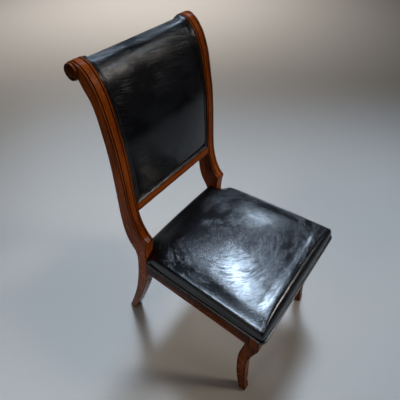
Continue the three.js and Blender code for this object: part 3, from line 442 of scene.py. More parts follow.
def ladder(ring, dark, rungs, first, start):
    """Grid that closes a ring: rung i runs from point i to point n - 1 - i, with vertices at the rungs'
    distances from both ends and one in the middle. first and start number the ring and the new points."""
    half = len(ring) // 2
    a, b = ring[:half], ring[::-1][:half]
    span = np.linalg.norm(b - a, axis=1)[:, None]
    near = np.minimum(np.array(rungs)[None], span * 0.45 * np.linspace(0.4, 1, len(rungs))[None])
    t = np.hstack([near, span / 2, span - near[:, ::-1]]) / np.maximum(span, 1e-9)
    fill = a[:, None] + (b - a)[:, None] * t[..., None]
    reach = np.minimum(t, 1 - t) * span
    # Painted shade carried onto the end caps: they darken within a few millimetres of the outline.
    edge = np.where(t < 0.5, dark[:half, None], dark[::-1][:half, None])
    fill_dark = edge * fading(reach, 0.0028)
    inner = start + np.arange(half * t.shape[1]).reshape(half, -1)
    index = np.hstack([first + np.arange(half)[:, None], inner,
                       first + len(ring) - 1 - np.arange(half)[:, None]])
    quads = np.stack([index[:-1, :-1], index[1:, :-1], index[1:, 1:], index[:-1, 1:]], -1)
    return fill.reshape(-1, 3), fill_dark.reshape(-1), quads.reshape(-1, 4)


def rounded_edges(width, radius, margin=0.0, turn=5):
    """Offsets from one face to the other with rounded edges: distance from the face, and inset.
    Each edge is a quarter circle of the radius, and a margin gives two flat rings inside it."""
    angle = np.linspace(0, np.pi / 2, turn)
    place = radius * (1 - np.sin(angle[::-1]))
    inset = radius * (1 - np.cos(angle[::-1]))
    if margin:
        place = np.concatenate([[0, 0], place])
        inset = np.concatenate([[radius + margin, radius + margin / 2], inset])
    return (np.concatenate([place, width - place[::-1]]),
            np.concatenate([inset, inset[::-1]]))


def mirrored(piece, name):
    """Copy of a piece on the other side of the chair, with its faces turned round again."""
    mesh = piece.data.copy()
    mesh.name = name
    mesh.transform(Matrix.Scale(-1, 4, (1, 0, 0)))
    mesh.flip_normals()
    copy = bpy.data.objects.new(name, mesh)
    bpy.context.scene.collection.objects.link(copy)
    return copy


def dress(piece, material, slot, *nodes):
    """Gives a piece its material and its place on the chair, and hides the CAD nodes that it stands for."""
    piece.data.materials.clear()
    piece.data.materials.append(material)
    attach(piece, "root")
    if nodes:
        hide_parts(*nodes)


def pair(piece, base, material, slot):
    """Dresses the right piece and its mirror image."""
    dress(piece, material, slot, f"right_{base}")
    dress(mirrored(piece, f"left_{base}_finish"), material, slot, f"left_{base}")


def repaint(material, *names):
    """Puts a material on CAD nodes that keep their own shape."""
    for name in names:
        node = frame["nodes"][name]
        node.data.materials.clear()
        node.data.materials.append(material)


# Node groups


def new_group(name, inputs, outputs):
    """Empty node group with float or vector sockets: (name, kind, default)."""
    group = bpy.data.node_groups.new(name, "ShaderNodeTree")
    for label, kind, default in inputs:
        socket = group.interface.new_socket(label, in_out="INPUT", socket_type=kind)
        if default is not None:
            socket.default_value = default
    for label, kind in outputs:
        group.interface.new_socket(label, in_out="OUTPUT", socket_type=kind)
    enter = group.nodes.new("NodeGroupInput")
    leave = group.nodes.new("NodeGroupOutput")
    return group, enter, leave


def maths(tree, operation, a, b=None, c=None, clamp=False):
    """Math node; each operand is a number or a socket."""
    node = tree.nodes.new("ShaderNodeMath")
    node.operation = operation
    node.use_clamp = clamp
    for socket, value in zip(node.inputs, (a, b, c)):
        if value is None:
            continue
        if isinstance(value, (int, float)):
            socket.default_value = value
        else:
            tree.links.new(value, socket)
    return node.outputs[0]


def ramp(tree, value, low, high, to_low=0.0, to_high=1.0):
    """Map Range node with smooth steps."""
    node = tree.nodes.new("ShaderNodeMapRange")
    node.interpolation_type = "SMOOTHSTEP"
    tree.links.new(value, node.inputs["Value"])
    for label, number in (("From Min", low), ("From Max", high), ("To Min", to_low), ("To Max", to_high)):
        node.inputs[label].default_value = number
    return node.outputs["Result"]


def noise(tree, vector, scale, detail, roughness, distortion=0.0):
    """Noise texture node that reads the vector."""
    node = tree.nodes.new("ShaderNodeTexNoise")
    for label, number in (("Scale", scale), ("Detail", detail), ("Roughness", roughness),
                          ("Distortion", distortion)):
        node.inputs[label].default_value = number
    tree.links.new(vector, node.inputs["Vector"])
    return node


def voronoi(tree, vector, scale):
    """Distance to the edge of cells of the scale."""
    node = tree.nodes.new("ShaderNodeTexVoronoi")
    node.feature = "DISTANCE_TO_EDGE"
    node.inputs["Scale"].default_value = scale
    tree.links.new(vector, node.inputs["Vector"])
    return node.outputs["Distance"]


def scaled(tree, vector, factors):
    """Vector multiplied by a factor for each axis."""
    node = tree.nodes.new("ShaderNodeMapping")
    node.inputs["Scale"].default_value = factors
    tree.links.new(vector, node.inputs["Vector"])
    return node.outputs["Vector"]


def mixed(tree, factor, a, b):
    """Colour mix; a and b are colours or sockets."""
    node = tree.nodes.new("ShaderNodeMix")
    node.data_type = "RGBA"
    tree.links.new(factor, node.inputs["Factor"])
    for socket, value in ((node.inputs[6], a), (node.inputs[7], b)):
        if isinstance(value, bpy.types.NodeSocket):
            tree.links.new(value, socket)
        else:
            socket.default_value = (*value, 1)
    return node.outputs[2]


def grain_group():
    """Straight-grained wood: streaks along Z of the given vector, fine pores and a slow mottle."""
    name = "Wood grain"
    if name in bpy.data.node_groups:
        return bpy.data.node_groups[name]
    group, enter, leave = new_group(
        name, [("Vector", "NodeSocketVector", None)],
        [("Streaks", "NodeSocketFloat"), ("Pores", "NodeSocketFloat"), ("Mottle", "NodeSocketFloat")])
    vector = enter.outputs["Vector"]
    wide = noise(group, scaled(group, vector, (70, 70, 3.2)), 1.0, 5.0, 0.6, 0.6).outputs[0]
    fine = noise(group, scaled(group, vector, (420, 420, 9)), 1.0, 3.0, 0.6).outputs[0]
    streaks = maths(group, "MULTIPLY_ADD", fine, 0.45, maths(group, "MULTIPLY", wide, 0.75))
    pores = noise(group, scaled(group, vector, (1500, 1500, 55)), 1.0, 2.0, 0.5).outputs[0]
    mottle = noise(group, scaled(group, vector, (11, 11, 5)), 1.0, 3.0, 0.5).outputs[0]
    group.links.new(ramp(group, streaks, 0.42, 0.8), leave.inputs["Streaks"])
    group.links.new(ramp(group, pores, 0.6, 0.78), leave.inputs["Pores"])
    group.links.new(ramp(group, mottle, 0.36, 0.66), leave.inputs["Mottle"])
    return group


def wear_group():
    """Small uneven variation of a finish: smears for roughness and a fine height."""
    name = "Finish wear"
    if name in bpy.data.node_groups:
        return bpy.data.node_groups[name]
    group, enter, leave = new_group(
        name, [("Vector", "NodeSocketVector", None)],
        [("Smears", "NodeSocketFloat"), ("Height", "NodeSocketFloat")])
    vector = enter.outputs["Vector"]
    smears = noise(group, vector, 18.0, 5.0, 0.65, 0.8).outputs[0]
    height = noise(group, vector, 140.0, 3.0, 0.5).outputs[0]
    group.links.new(ramp(group, smears, 0.35, 0.7), leave.inputs["Smears"])
    group.links.new(height, leave.inputs["Height"])
    return group


def leather_group():
    """Finished leather: creases between cells of two sizes, bent by noise, stretch lines that follow the
    Lay vector, and a fine pebble. Height is in tenths of a millimetre."""
    name = "Leather grain"
    if name in bpy.data.node_groups:
        return bpy.data.node_groups[name]
    group, enter, leave = new_group(
        name, [("Vector", "NodeSocketVector", None), ("Lay", "NodeSocketVector", None)],
        [("Creases", "NodeSocketFloat"), ("Patches", "NodeSocketFloat"), ("Height", "NodeSocketFloat")])
    vector = enter.outputs["Vector"]
    bent = warped(group, vector, 26.0, 0.02)
    bent = warped(group, bent, 90.0, 0.004)
    large = ramp(group, voronoi(group, bent, 60.0), 0.0, 0.06, 1.0, 0.0)
    small = ramp(group, voronoi(group, bent, 105.0), 0.0, 0.10, 1.0, 0.0)
    crazed = ramp(group, noise(group, vector, 8.0, 3.0, 0.6).outputs[0], 0.45, 0.62)
    longer = scaled(group, vector, (1, 1.3, 1))
    stretched = ramp(group, noise(group, longer, 13.0, 3.0, 0.6).outputs[0], 0.3, 0.6)
    lay = warped(group, enter.outputs["Lay"], 12.0, 0.03)
    lines = noise(group, scaled(group, lay, (210, 14, 14)), 1.0, 5.0, 0.62).outputs[0]
    ridges = maths(group, "ABSOLUTE", maths(group, "SUBTRACT", lines, 0.5))
    stretch = maths(group, "MULTIPLY", ramp(group, ridges, 0.0, 0.045, 1.0, 0.0), stretched)
    creases = maths(group, "MULTIPLY_ADD", maths(group, "MULTIPLY", large, 0.5), crazed,
                    maths(group, "MULTIPLY", small, 0.12))
    creases = maths(group, "MULTIPLY_ADD", stretch, 0.9, creases, clamp=True)
    pebble = ramp(group, voronoi(group, vector, 700.0), 0.0, 0.35)
    patches = noise(group, vector, 14.0, 4.0, 0.6, 0.5).outputs[0]
    swell = noise(group, vector, 30.0, 3.0, 0.5).outputs[0]
    height = maths(group, "MULTIPLY_ADD", pebble, 0.12, maths(group, "MULTIPLY", creases, -1.1))
    height = maths(group, "MULTIPLY_ADD", swell, 0.22, height)
    group.links.new(creases, leave.inputs["Creases"])
    group.links.new(ramp(group, patches, 0.35, 0.68), leave.inputs["Patches"])
    group.links.new(height, leave.inputs["Height"])
    return group


def warped(tree, vector, scale, amount):
    """Vector moved by an amount of a noise of the scale: vector + amount (noise - 0.5)."""
    shift = tree.nodes.new("ShaderNodeVectorMath")
    shift.operation = "MULTIPLY_ADD"
    tree.links.new(noise(tree, vector, scale, 2.0, 0.5).outputs["Color"], shift.inputs[0])
    shift.inputs[1].default_value = (amount, amount, amount)
    tree.links.new(vector, shift.inputs[2])
    return shift.outputs["Vector"]


# Materials


def new_material(name):
    """Material with a Principled BSDF: returns the material, its tree, the shader and Object coordinates."""
    material = bpy.data.materials.new(name)
    material.use_nodes = True
    tree = material.node_tree
    tree.nodes.clear()
    shader = tree.nodes.new("ShaderNodeBsdfPrincipled")
    output = tree.nodes.new("ShaderNodeOutputMaterial")
    tree.links.new(shader.outputs[0], output.inputs["Surface"])
    place = tree.nodes.new("ShaderNodeTexCoord").outputs["Object"]
    return material, tree, shader, place


def use_group(tree, group, vector):
    """Places a node group in a material, fed with the vector."""
    node = tree.nodes.new("ShaderNodeGroup")
    node.node_tree = group
    tree.links.new(vector, node.inputs["Vector"])
    return node


def bump(tree, shader, height, distance):
    """Feeds the shader's normal from a height, which is worth the distance in metres where it is 1."""
    node = tree.nodes.new("ShaderNodeBump")
    node.inputs["Distance"].default_value = distance
    node.inputs["Strength"].default_value = 1
    tree.links.new(height, node.inputs["Height"])
    tree.links.new(node.outputs["Normal"], shader.inputs["Normal"])


def turned_to(tree, place, axis):
    """Object coordinates turned so that the grain runs along the axis named."""
    node = tree.nodes.new("ShaderNodeMapping")
    turns = {"x": (0, math.radians(90), 0), "y": (math.radians(90), 0, 0), "z": (0, 0, 0)}
    node.inputs["Rotation"].default_value = turns[axis]
    tree.links.new(place, node.inputs["Vector"])
    return node.outputs["Vector"]


def polished_wood(axis):
    """Stained and polished wood with its grain along an axis, darkened where a point attribute carries dark
    glazing and painted shade: in hollows, along edges and at joints.
    """
    name = f"Polished wood along {axis}"
    if name in bpy.data.materials:
        return bpy.data.materials[name]
    c = colours()
    material, tree, shader, place = new_material(name)
    grain = use_group(tree, grain_group(), turned_to(tree, place, axis))
    wear = use_group(tree, wear_group(), place)
    figure = maths(tree, "MULTIPLY_ADD", grain.outputs["Streaks"], 0.75,
                   maths(tree, "MULTIPLY", grain.outputs["Mottle"], 0.45), clamp=True)
    tone = mixed(tree, figure, tuple(c.wood), tuple(c.wood_dark))
    tone = mixed(tree, maths(tree, "MULTIPLY", grain.outputs["Pores"], 0.45), tone, tuple(c.wood_dark))
    # Painted shade and glazing: the point attribute read here darkens hollows, edges and joints towards the
    # dark glazing colour.
    attribute = tree.nodes.new("ShaderNodeAttribute")
    attribute.attribute_name = "glaze_and_shade"
    uneven = maths(tree, "MULTIPLY_ADD", wear.outputs["Smears"], 0.35, 0.75)
    dark = maths(tree, "MULTIPLY", attribute.outputs["Fac"], uneven, clamp=True)
    tone = mixed(tree, dark, tone, tuple(c.glaze_and_shade))
    tree.links.new(tone, shader.inputs["Base Color"])
    rough = maths(tree, "MULTIPLY_ADD", wear.outputs["Smears"], 0.12, 0.2)
    tree.links.new(rough, shader.inputs["Roughness"])
    shader.inputs["Specular IOR Level"].default_value = 0.03
    height = maths(tree, "MULTIPLY_ADD", grain.outputs["Pores"], -0.5,
                   maths(tree, "MULTIPLY", wear.outputs["Height"], 0.8))
    bump(tree, shader, height, 0.00022)
    return material


def bare_wood(name, axis, tint=1.0):
    """Unfinished wood with its grain along an axis."""
    if name in bpy.data.materials:
        return bpy.data.materials[name]
    material, tree, shader, place = new_material(name)
    grain = use_group(tree, grain_group(), turned_to(tree, place, axis))
    light = tuple(channel * tint for channel in colours().bare_wood)
    dark = tuple(channel * 0.55 for channel in light)
    figure = maths(tree, "MULTIPLY_ADD", grain.outputs["Streaks"], 0.6,
                   maths(tree, "MULTIPLY", grain.outputs["Mottle"], 0.3), clamp=True)
    tone = mixed(tree, figure, light, dark)
    tree.links.new(tone, shader.inputs["Base Color"])
    rough = maths(tree, "MULTIPLY_ADD", grain.outputs["Pores"], 0.15, 0.62)
    tree.links.new(rough, shader.inputs["Roughness"])
    bump(tree, shader, grain.outputs["Streaks"], 0.0002)
    return material


def leather(name, scale, roughness, depth, gloss):
    """Glossy black leather: dark base with lighter high spots, creases and pebble in the bump.
    The lay attribute, where a piece has one, gives the direction of the stretch lines."""
    if name in bpy.data.materials:
        return bpy.data.materials[name]
    c = colours()
    material, tree, shader, place = new_material(name)
    grain = use_group(tree, leather_group(), scaled(tree, place, (scale, scale, scale)))
    lay = tree.nodes.new("ShaderNodeAttribute")
    lay.attribute_name = "lay"
    tree.links.new(lay.outputs["Vector"], grain.inputs["Lay"])
    tone = mixed(tree, grain.outputs["Patches"], tuple(c.leather), tuple(c.leather_worn))
    tree.links.new(tone, shader.inputs["Base Color"])
    rough = maths(tree, "MULTIPLY_ADD", grain.outputs["Patches"], 0.02, roughness)
    rough = maths(tree, "MULTIPLY_ADD", grain.outputs["Creases"], 0.06, rough)
    tree.links.new(rough, shader.inputs["Roughness"])
    shader.inputs["Specular IOR Level"].default_value = gloss
    bump(tree, shader, grain.outputs["Height"], depth)
    return material


def black_leather():
    """Leather of the seat, the back pad and the outside back."""
    return leather("Black leather", 1.0, 0.19, 0.0001, 0.33)


def welt_leather():
    """Leather of the welts: finer, and stretched shiny over its cords."""
    return leather("Welt leather", 2.5, 0.24, 0.00006, 0.6)


def plain_finish(name, tone, roughness, metallic, scale, depth):
    """Moulded, woven or plated surface: a mottle of the tone with a fine bump of the given scale."""
    if name in bpy.data.materials:
        return bpy.data.materials[name]
    material, tree, shader, place = new_material(name)
    wear = use_group(tree, wear_group(), scaled(tree, place, (scale, scale, scale)))
    dark = tuple(channel * 0.7 for channel in tone)
    tree.links.new(mixed(tree, wear.outputs["Smears"], tuple(tone), dark), shader.inputs["Base Color"])
    tree.links.new(maths(tree, "MULTIPLY_ADD", wear.outputs["Smears"], 0.15, roughness),
                   shader.inputs["Roughness"])
    shader.inputs["Metallic"].default_value = metallic
    bump(tree, shader, wear.outputs["Height"], depth)
    return material


# Outlines of the posts


def at_depth(curve, height):
    """Depth of a rising curve at heights, by linear interpolation."""
    order = np.argsort(curve[:, 1])
    return np.interp(height, curve[order, 1], curve[order, 0])


class PostShape:
    """Front and back curves of the post in depth behind the step and height, and its scroll."""

    def __init__(self):
        s = sizes()
        rise = s.height - s.step_height
        lower = lambda h: s.glide_height + h * (s.step_height - s.glide_height)
        upper = lambda h: s.step_height + h * rise
        self.centre = np.array([s.rake, s.height - s.scroll_radius])
        self.lower_front = smooth_run([(d * s.foot_reach, lower(h)) for d, h in LOWER_FRONT_SHARES], 140)
        self.upper_front = smooth_run([(d * s.rake, upper(h)) for d, h in UPPER_FRONT_SHARES], 220)
        low = [(at_depth(self.lower_front, lower(h)) + d * s.post_depth, lower(h))
               for h, d in LOWER_BACK_SHARES]
        under = lambda h: s.step_height + h * (rise - 2 * s.scroll_radius)
        high = [(at_depth(self.upper_front, under(h)) + d * s.post_depth, under(h))
                for h, d in UPPER_BACK_SHARES]
        underside = self.centre - (0, s.scroll_radius)
        lead = underside + np.array(SCROLL_LEAD_SHARES) * s.scroll_radius
        self.back = smooth_run([*low, *high, tuple(lead), tuple(underside)], 260)

    def outline(self):
        """Closed outline as two runs of one length, up the front and down the back, that meet at the foot
        and at the scroll's rear; with it the share of moulding at each point."""
        s = sizes()
        lower, upper = softened(self.lower_front, self.upper_front, s.arris, 7, True)
        foot = self.lower_front[0], self.back[0]
        base = foot[0] * 0.6 + foot[1] * 0.4, foot[0] * 0.4 + foot[1] * 0.6
        lower = softened(np.array([base[0], foot[0]]), lower, 0.002)
        back = softened(np.array([base[1], foot[1]]), self.back, 0.002)
        split = np.searchsorted(back[:, 1], s.step_height)
        scroll_start = self.centre[0] + SCROLL_LEAD_SHARES[0] * s.scroll_radius
        turn = np.searchsorted(self.upper_front[:, 0], scroll_start)
        crown = np.vstack([self.upper_front[turn:], arc(self.centre, s.scroll_radius, 90, 3, 40)[1:]])
        under = np.vstack([back[-12:-1], arc(self.centre, s.scroll_radius, -90, -3, 40)])
        upper = upper[:len(upper) - len(self.upper_front) + turn + 1]
        front = np.vstack([lower, spaced(upper, 230)[1:], spaced(crown, 70)[1:]])
        rear = np.vstack([spaced(back[:split + 1], len(lower)), spaced(back[split:-11], 230)[1:],
                          spaced(under, 70)[1:]])
        moulded = np.arange(len(front)) >= len(lower) - 3
        shares = np.concatenate([moulded, rear[::-1, 1] > self.centre[1] - s.scroll_radius * 0.9])
        return np.vstack([front, rear[::-1]]), shares.astype(float)

    def front_at(self, height):
        """Depth of the post's front at a height."""
        height = np.asarray(height, float)
        return np.where(height < sizes().step_height, at_depth(self.lower_front, height),
                        at_depth(self.upper_front, height))


def moulding(place):
    """Depth of the post's moulding at a distance from its outer face: quirk, bead, groove and middle band.
    A bead is a flattened circle between its quirk and its groove, and the grooves are cosine hollows."""
    s = sizes()
    place = np.minimum(place, s.post_width - place)
    start = s.arris + s.quirk * 0.6
    half = (s.bead_width - start) / 2
    inside = np.clip((place - start - half) / half, -1, 1)
    bead = (1 - np.sqrt(1 - 0.97 * inside**2)) * s.quirk * 1.25
    groove_place = np.abs(place - s.bead_width - s.groove_width / 2) / (s.groove_width * 0.75)
    groove = s.groove_depth * np.cos(np.clip(groove_place, 0, 1) * np.pi / 2) ** 1.5
    side = s.quirk * (1 - smoothstep(np.abs(place - s.arris), 0, s.quirk * 0.8))
    result = np.where(place < start, side, np.maximum(bead, groove))
    return np.where(place > s.bead_width + s.groove_width / 2, groove, result)


class CHAIR_OT_posts(bpy.types.Operator):
    """Back posts with their rear legs: the side outline carried across, with a moulded front"""

    bl_idname = "chair.posts"
    bl_label = "Back posts"

    def execute(self, context):
        s = sizes()
        loop, moulded = PostShape().outline()
        edge_place, edge_inset = rounded_edges(s.post_width, s.arris)
        turn = len(edge_place) // 2
        inner = np.linspace(s.arris, s.post_width - s.arris, 72)[1:-1]
        place = np.concatenate([edge_place[:turn], inner, edge_place[turn:]])
        inset = np.concatenate([edge_inset[:turn], np.zeros(len(inner)), edge_inset[turn:]])
        cut = moulding(place)
        depth = inset[:, None] + cut[:, None] * moulded[None]
        # Painted shade and glazing: the moulding's grooves, a band along both side edges and a line along the
        # step arris are darkened.
        hollow = np.clip(cut / s.quirk, 0, 1)
        edge = fading(np.minimum(place, s.post_width - place) + inset, 0.0022)
        glaze_and_shade = np.maximum(hollow[:, None] * moulded[None] * 1.2, edge[:, None] * 0.9)
        arris = fading(loop[:, 1] - s.step_height, 0.0018) * (loop[:, 0] < 0.01)
        glaze_and_shade = np.maximum(glaze_and_shade, 0.7 * arris[None])
        piece = carried("right_back_post_finish", loop, place - s.post_outer, depth, glaze_and_shade,
                        rungs=(0.0005, 0.0013, 0.0025, 0.0045))
        pair(piece, "back_post", polished_wood("z"), "polished_wood")
        return {"FINISHED"}


class CHAIR_OT_front_legs(bpy.types.Operator):
    """Front legs: level rounded sections between a front and a back curve, from the foot to the block"""

    bl_idname = "chair.front_legs"
    bl_label = "Front legs"

    def execute(self, context):
        s = sizes()
        front_y = LEG_BOX[0].y - STEP_Y
        rail = s.rail_bottom
        brow, toe_round = 0.004, 0.003
        lift = lambda h: s.glide_height + h * (rail - s.glide_height)
        front = [(front_y + d * s.leg_drop, lift(h)) for d, h in LEG_FRONT_SHARES]
        front.append((front_y, rail - brow))
        back = [(front_y + d * s.leg_drop, lift(h)) for d, h in LEG_BACK_SHARES]
        back.append((front_y + s.leg_block + s.leg_ear, rail - s.gap))
        front, back = smooth_run(front, 160), smooth_run(back, 160)
        low = np.linspace(s.glide_height, rail - s.gap, 130)
        foot = s.glide_height + toe_round * (1 - np.cos(np.linspace(0, np.pi / 2, 6)))[:-1]
        high = np.linspace(rail - s.gap / 2, s.rail_top, 16)
        height = np.concatenate([foot, low[low > foot[-1]], high])
        y0 = np.where(height < rail - brow, at_depth(front, height), front_y)
        y1 = np.where(height <= rail - s.gap, at_depth(back, height), front_y + s.leg_block)
        x0 = np.full(len(height), LEG_BOX[0].x)
        width = LEG_BOX[1].x - LEG_BOX[0].x
        taper = np.clip(height / rail, 0, 1)
        x1 = x0 + s.leg_foot + (width - s.leg_foot) * taper
        cove = 0.0011 * (1 - smoothstep(height, rail - 0.012, rail + 0.002))
        short = (1 - (height - s.glide_height) / toe_round).clip(0, 1)
        toe = toe_round * (1 - np.sqrt(1 - short**2))
        x0, x1 = x0 + cove + toe, x1 - cove - toe
        y0, y1 = y0 + toe, y1 - toe
        points, glaze_and_shade = self.sections(x0, x1, y0, y1, height)
        # Painted shade: a dark band on the leg just under the side rail, where the rail shades it.
        shade_under_rail = fading(height - rail + 0.006, 0.006) * 0.75
        glaze_and_shade = np.maximum(glaze_and_shade, shade_under_rail[:, None])
        rows, count = glaze_and_shade.shape
        points[..., 1] += STEP_Y
        piece = mesh_object("right_front_leg_finish", points.reshape(-1, 3), ring_faces(rows, count),
                            end_loops(rows, count), glaze_and_shade)
        piece.data.set_sharp_from_angle(angle=math.radians(50))
        pair(piece, "front_leg", polished_wood("z"), "polished_wood")
        return {"FINISHED"}

    def sections(self, x0, x1, y0, y1, height):
        """Rounded rectangles, one for each height: quarter circles of the arris at the corners, joined by
        straight sides, and the dark glazing and painted shade that lie within 3 mm of the corners."""
        radius = sizes().arris * 1.4
        turn = np.linspace(0, np.pi / 2, 5)
        side = np.array([0.03, 0.08, 0.3, 0.5, 0.7, 0.92, 0.97])
        rounds = []
        for quarter, (x, y) in enumerate([(x1 - radius, y1 - radius), (x0 + radius, y1 - radius),
                                          (x0 + radius, y0 + radius), (x1 - radius, y0 + radius)]):
            angle = turn + quarter * np.pi / 2
            rounds.append(np.stack([x[:, None] + radius * np.cos(angle),
                                    y[:, None] + radius * np.sin(angle)], -1))
        runs, dark = [], []
        for this, following in zip(rounds, rounds[1:] + rounds[:1]):
            a, b = this[:, -1], following[:, 0]
            reach = np.linalg.norm(b - a, axis=1)[:, None] * np.minimum(side, 1 - side)[None]
            runs += [this, a[:, None] + (b - a)[:, None] * side[None, :, None]]
            dark += [np.full(this.shape[:2], 0.85), 0.85 * fading(reach, 0.002)]
        plan = np.hstack(runs)
        level = np.broadcast_to(height[:, None, None], (*plan.shape[:2], 1))
        return np.concatenate([plan, level], -1), np.hstack(dark)


class CHAIR_OT_rails(bpy.types.Operator):
    """Seat rails, cross rail and crest rail"""

    bl_idname = "chair.rails"
    bl_label = "Rails"

    def execute(self, context):
        s = sizes()
        post = PostShape()
        self.side_rails(post)
        wood = polished_wood("x")
        for name, axis_box in (("front_seat_rail", RAIL_BOX), ("rear_seat_rail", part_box("rear_seat_rail"))):
            low, high = axis_box
            loop = self.rectangle(low.y - STEP_Y, high.y - STEP_Y, low.z, high.z)
            half = (LEG_BOX[1].x if name.startswith("front") else POST_BOX[1].x) + s.gap
            self.straight(f"{name}_finish", loop, half, -half, wood, name)
        self.cross_rail(post)
        repaint(bare_wood("Bare hardwood along x", "x"), "crest_rail")
        return {"FINISHED"}

    def rectangle(self, y0, y1, z0, z1):
        """Closed rectangle with rounded corners, up the front and down the back."""
        r = sizes().arris
        corners = [((y0 + r, z1 - r), 180, 90), ((y1 - r, z1 - r), 90, 0), ((y1 - r, z0 + r), 0, -90),
                   ((y0 + r, z0 + r), -90, -180)]
        return np.vstack([arc(centre, r, start, stop, 6) for centre, start, stop in corners])

    def straight(self, name, loop, x0, x1, wood, node):
        """Rail between two ends: the rounded outline carried across, with dark glazing and painted shade
        along its edges.
        """
        across = np.array([x0, x0 * 0.98, x0 * 0.5, 0, x1 * 0.5, x1 * 0.98, x1])
        middle = (loop.max(0) + loop.min(0)) / 2
        reach = np.minimum(*(np.abs(np.abs(loop - middle) - (loop.max(0) - loop.min(0)) / 2)).T)
        glaze_and_shade = np.broadcast_to(0.4 * fading(reach, 0.002), (len(across), len(loop)))
        piece = carried(name, loop, across, 0.0, glaze_and_shade)
        piece.data.set_sharp_from_angle(angle=math.radians(50))
        dress(piece, wood, "polished_wood", node)

    def side_rails(self, post):
        """Side rail: from the front leg to the scribed face of the post, splayed with the seat."""
        s = sizes()
        block_back = LEG_BOX[0].y - STEP_Y + s.leg_block
        splay = (s.post_outer + LEG_BOX[0].x) / block_back
        z = np.linspace(s.rail_bottom, s.rail_top, 24)
        scribe = np.stack([post.front_at(z) - s.gap, z], 1)[::-1]
        start = block_back + s.gap
        front = np.stack([np.full(24, start), z], 1)
        top = np.stack([np.linspace(start, scribe[0, 0], 30)[1:-1], np.full(28, s.rail_top)], 1)
        base = np.stack([np.linspace(scribe[-1, 0], start, 30)[1:-1], np.full(28, s.rail_bottom)], 1)
        loop = np.vstack([front, top, scribe, base])
        place, inset = rounded_edges(s.rail_thickness, s.arris, 0.003)
        lengthwise = np.minimum(loop[:, 1] - s.rail_bottom, s.rail_top - loop[:, 1]) < 1e-5
        # Painted shade and glazing: the rail darkens along its long edges and at its ends, where it meets the
        # leg and the post.
        near = fading(np.minimum(place, s.rail_thickness - place) + inset, 0.002)
        ends = np.minimum(np.abs(loop[:, 0] - start), np.abs(loop[:, 0] - post.front_at(loop[:, 1])))
        glaze_and_shade = np.maximum(0.5 * near[:, None] * lengthwise[None], fading(ends, 0.0014)[None])
        depth = inset[:, None] * np.where(lengthwise, 1.0, 0.25)[None]
        piece = carried("right_seat_rail_finish", loop, place - s.post_outer, depth, glaze_and_shade, lean=splay)
        piece.data.set_sharp_from_angle(angle=math.radians(50))
        pair(piece, "seat_rail", polished_wood("y"), "polished_wood")

    def cross_rail(self, post):
        """Cross rail: face along the posts, and a half-round bead under a fine groove at its bottom edge."""
        s = sizes()
        low, high = CROSS_BOX[0].z, CROSS_BOX[1].z
        bead = s.cross_bead
        start = float(post.front_at(low))
        centre = (start + bead, low + bead)
        lip = arc(centre, bead, 270, 100, 16)
        z = np.linspace(low + 2 * bead + s.groove_width / 2, high, 16)
        face = np.stack([post.front_at(z), z], 1)
        rear = float(post.front_at(high)) + s.cross_depth
        loop = np.vstack([lip, [[start + s.groove_depth, low + 2 * bead + s.gap]], face,
                          [[rear, high], [rear, low]]])
        half = -POST_BOX[1].x - s.gap
        across = np.linspace(half, -half, 9)
        # Painted shade and glazing: a dark line along the fine groove over the bead.
        dark = fading(loop[:, 1] - low - 2 * bead - 0.0004, 0.0014) * (loop[:, 0] < rear - 0.01)
        glaze_and_shade = np.broadcast_to(dark, (len(across), len(loop)))
        piece = carried("back_cross_rail_finish", loop, across, 0.0, glaze_and_shade)
        piece.data.set_sharp_from_angle(angle=math.radians(60))
        dress(piece, polished_wood("x"), "polished_wood", "back_cross_rail")


class CHAIR_OT_rosettes(bpy.types.Operator):
    """Rosettes of the scrolls: a turned profile of radius and height spun about the scroll's axis"""

    bl_idname = "chair.rosettes"
    bl_label = "Scroll rosettes"

    def execute(self, context):
        s = sizes()
        radius, height = s.rosette_radius, s.rosette_height
        profile = [(0.0, s.gap), (radius - 0.0006, s.gap), (radius, 0.001), (radius, height * 0.52),
                   (radius - 0.0005, height * 0.74), (radius - 0.0018, height * 0.86),
                   (radius - 0.0036, height * 0.84), (radius - 0.0052, height * 0.62),
                   (radius - 0.0062, height * 0.58), (radius - 0.0078, height * 0.72),
                   (radius * 0.3, height * 0.97), (0.0, height)]
        run = smooth_run(profile, 90)
        angle = np.linspace(0, 2 * np.pi, 96, endpoint=False)
        centre = PostShape().centre
        body = run[1:-1]
        x = np.broadcast_to(-s.post_outer - body[:, 1:2], (len(body), len(angle)))
        y = centre[0] + STEP_Y + body[:, :1] * np.cos(angle)[None]
        z = centre[1] + body[:, :1] * np.sin(angle)[None]
        points = np.stack([x, y, z], -1).reshape(-1, 3)
        # Darkening carried by the glazing-and-shade attribute: strong in the rosette's groove, and 0.72 over
        # the part that stands more than half its height out.
        dark = fading(body[:, 0] - radius + 0.0058, 0.0012) + 0.72 * (body[:, 1] > height * 0.5)
        glaze_and_shade = np.broadcast_to(np.clip(dark, 0, 1)[:, None], x.shape)
        piece = mesh_object("right_scroll_rosette_finish", points, ring_faces(*x.shape),
                            end_loops(*x.shape), glaze_and_shade)
        pair(piece, "scroll_rosette", polished_wood("z"), "polished_wood")
        return {"FINISHED"}


class CHAIR_OT_joinery(bpy.types.Operator):
    """Corner blocks, screws, glides and boards under the upholstery, as the frame has them"""

    bl_idname = "chair.joinery"
    bl_label = "Blocks, screws and glides"

    def execute(self, context):
        c = colours()
        nodes = frame["nodes"]
        repaint(bare_wood("Bare hardwood along z", "z"), *[n for n in nodes if "corner_block" in n])
        repaint(bare_wood("Plywood", "x", 1.15), "seat_board", "back_board")
        repaint(plain_finish("Zinc plated steel", c.metal, 0.3, 1.0, 3.0, 0.0001),
                *[n for n in nodes if "screw" in n])
        repaint(plain_finish("Glide nylon", c.nylon, 0.5, 0.0, 4.0, 0.0002),
                *[n for n in nodes if "glide" in n])
        repaint(plain_finish("Foam", c.foam, 0.9, 0.0, 10.0, 0.0006), "seat_foam")
        return {"FINISHED"}


# Upholstery


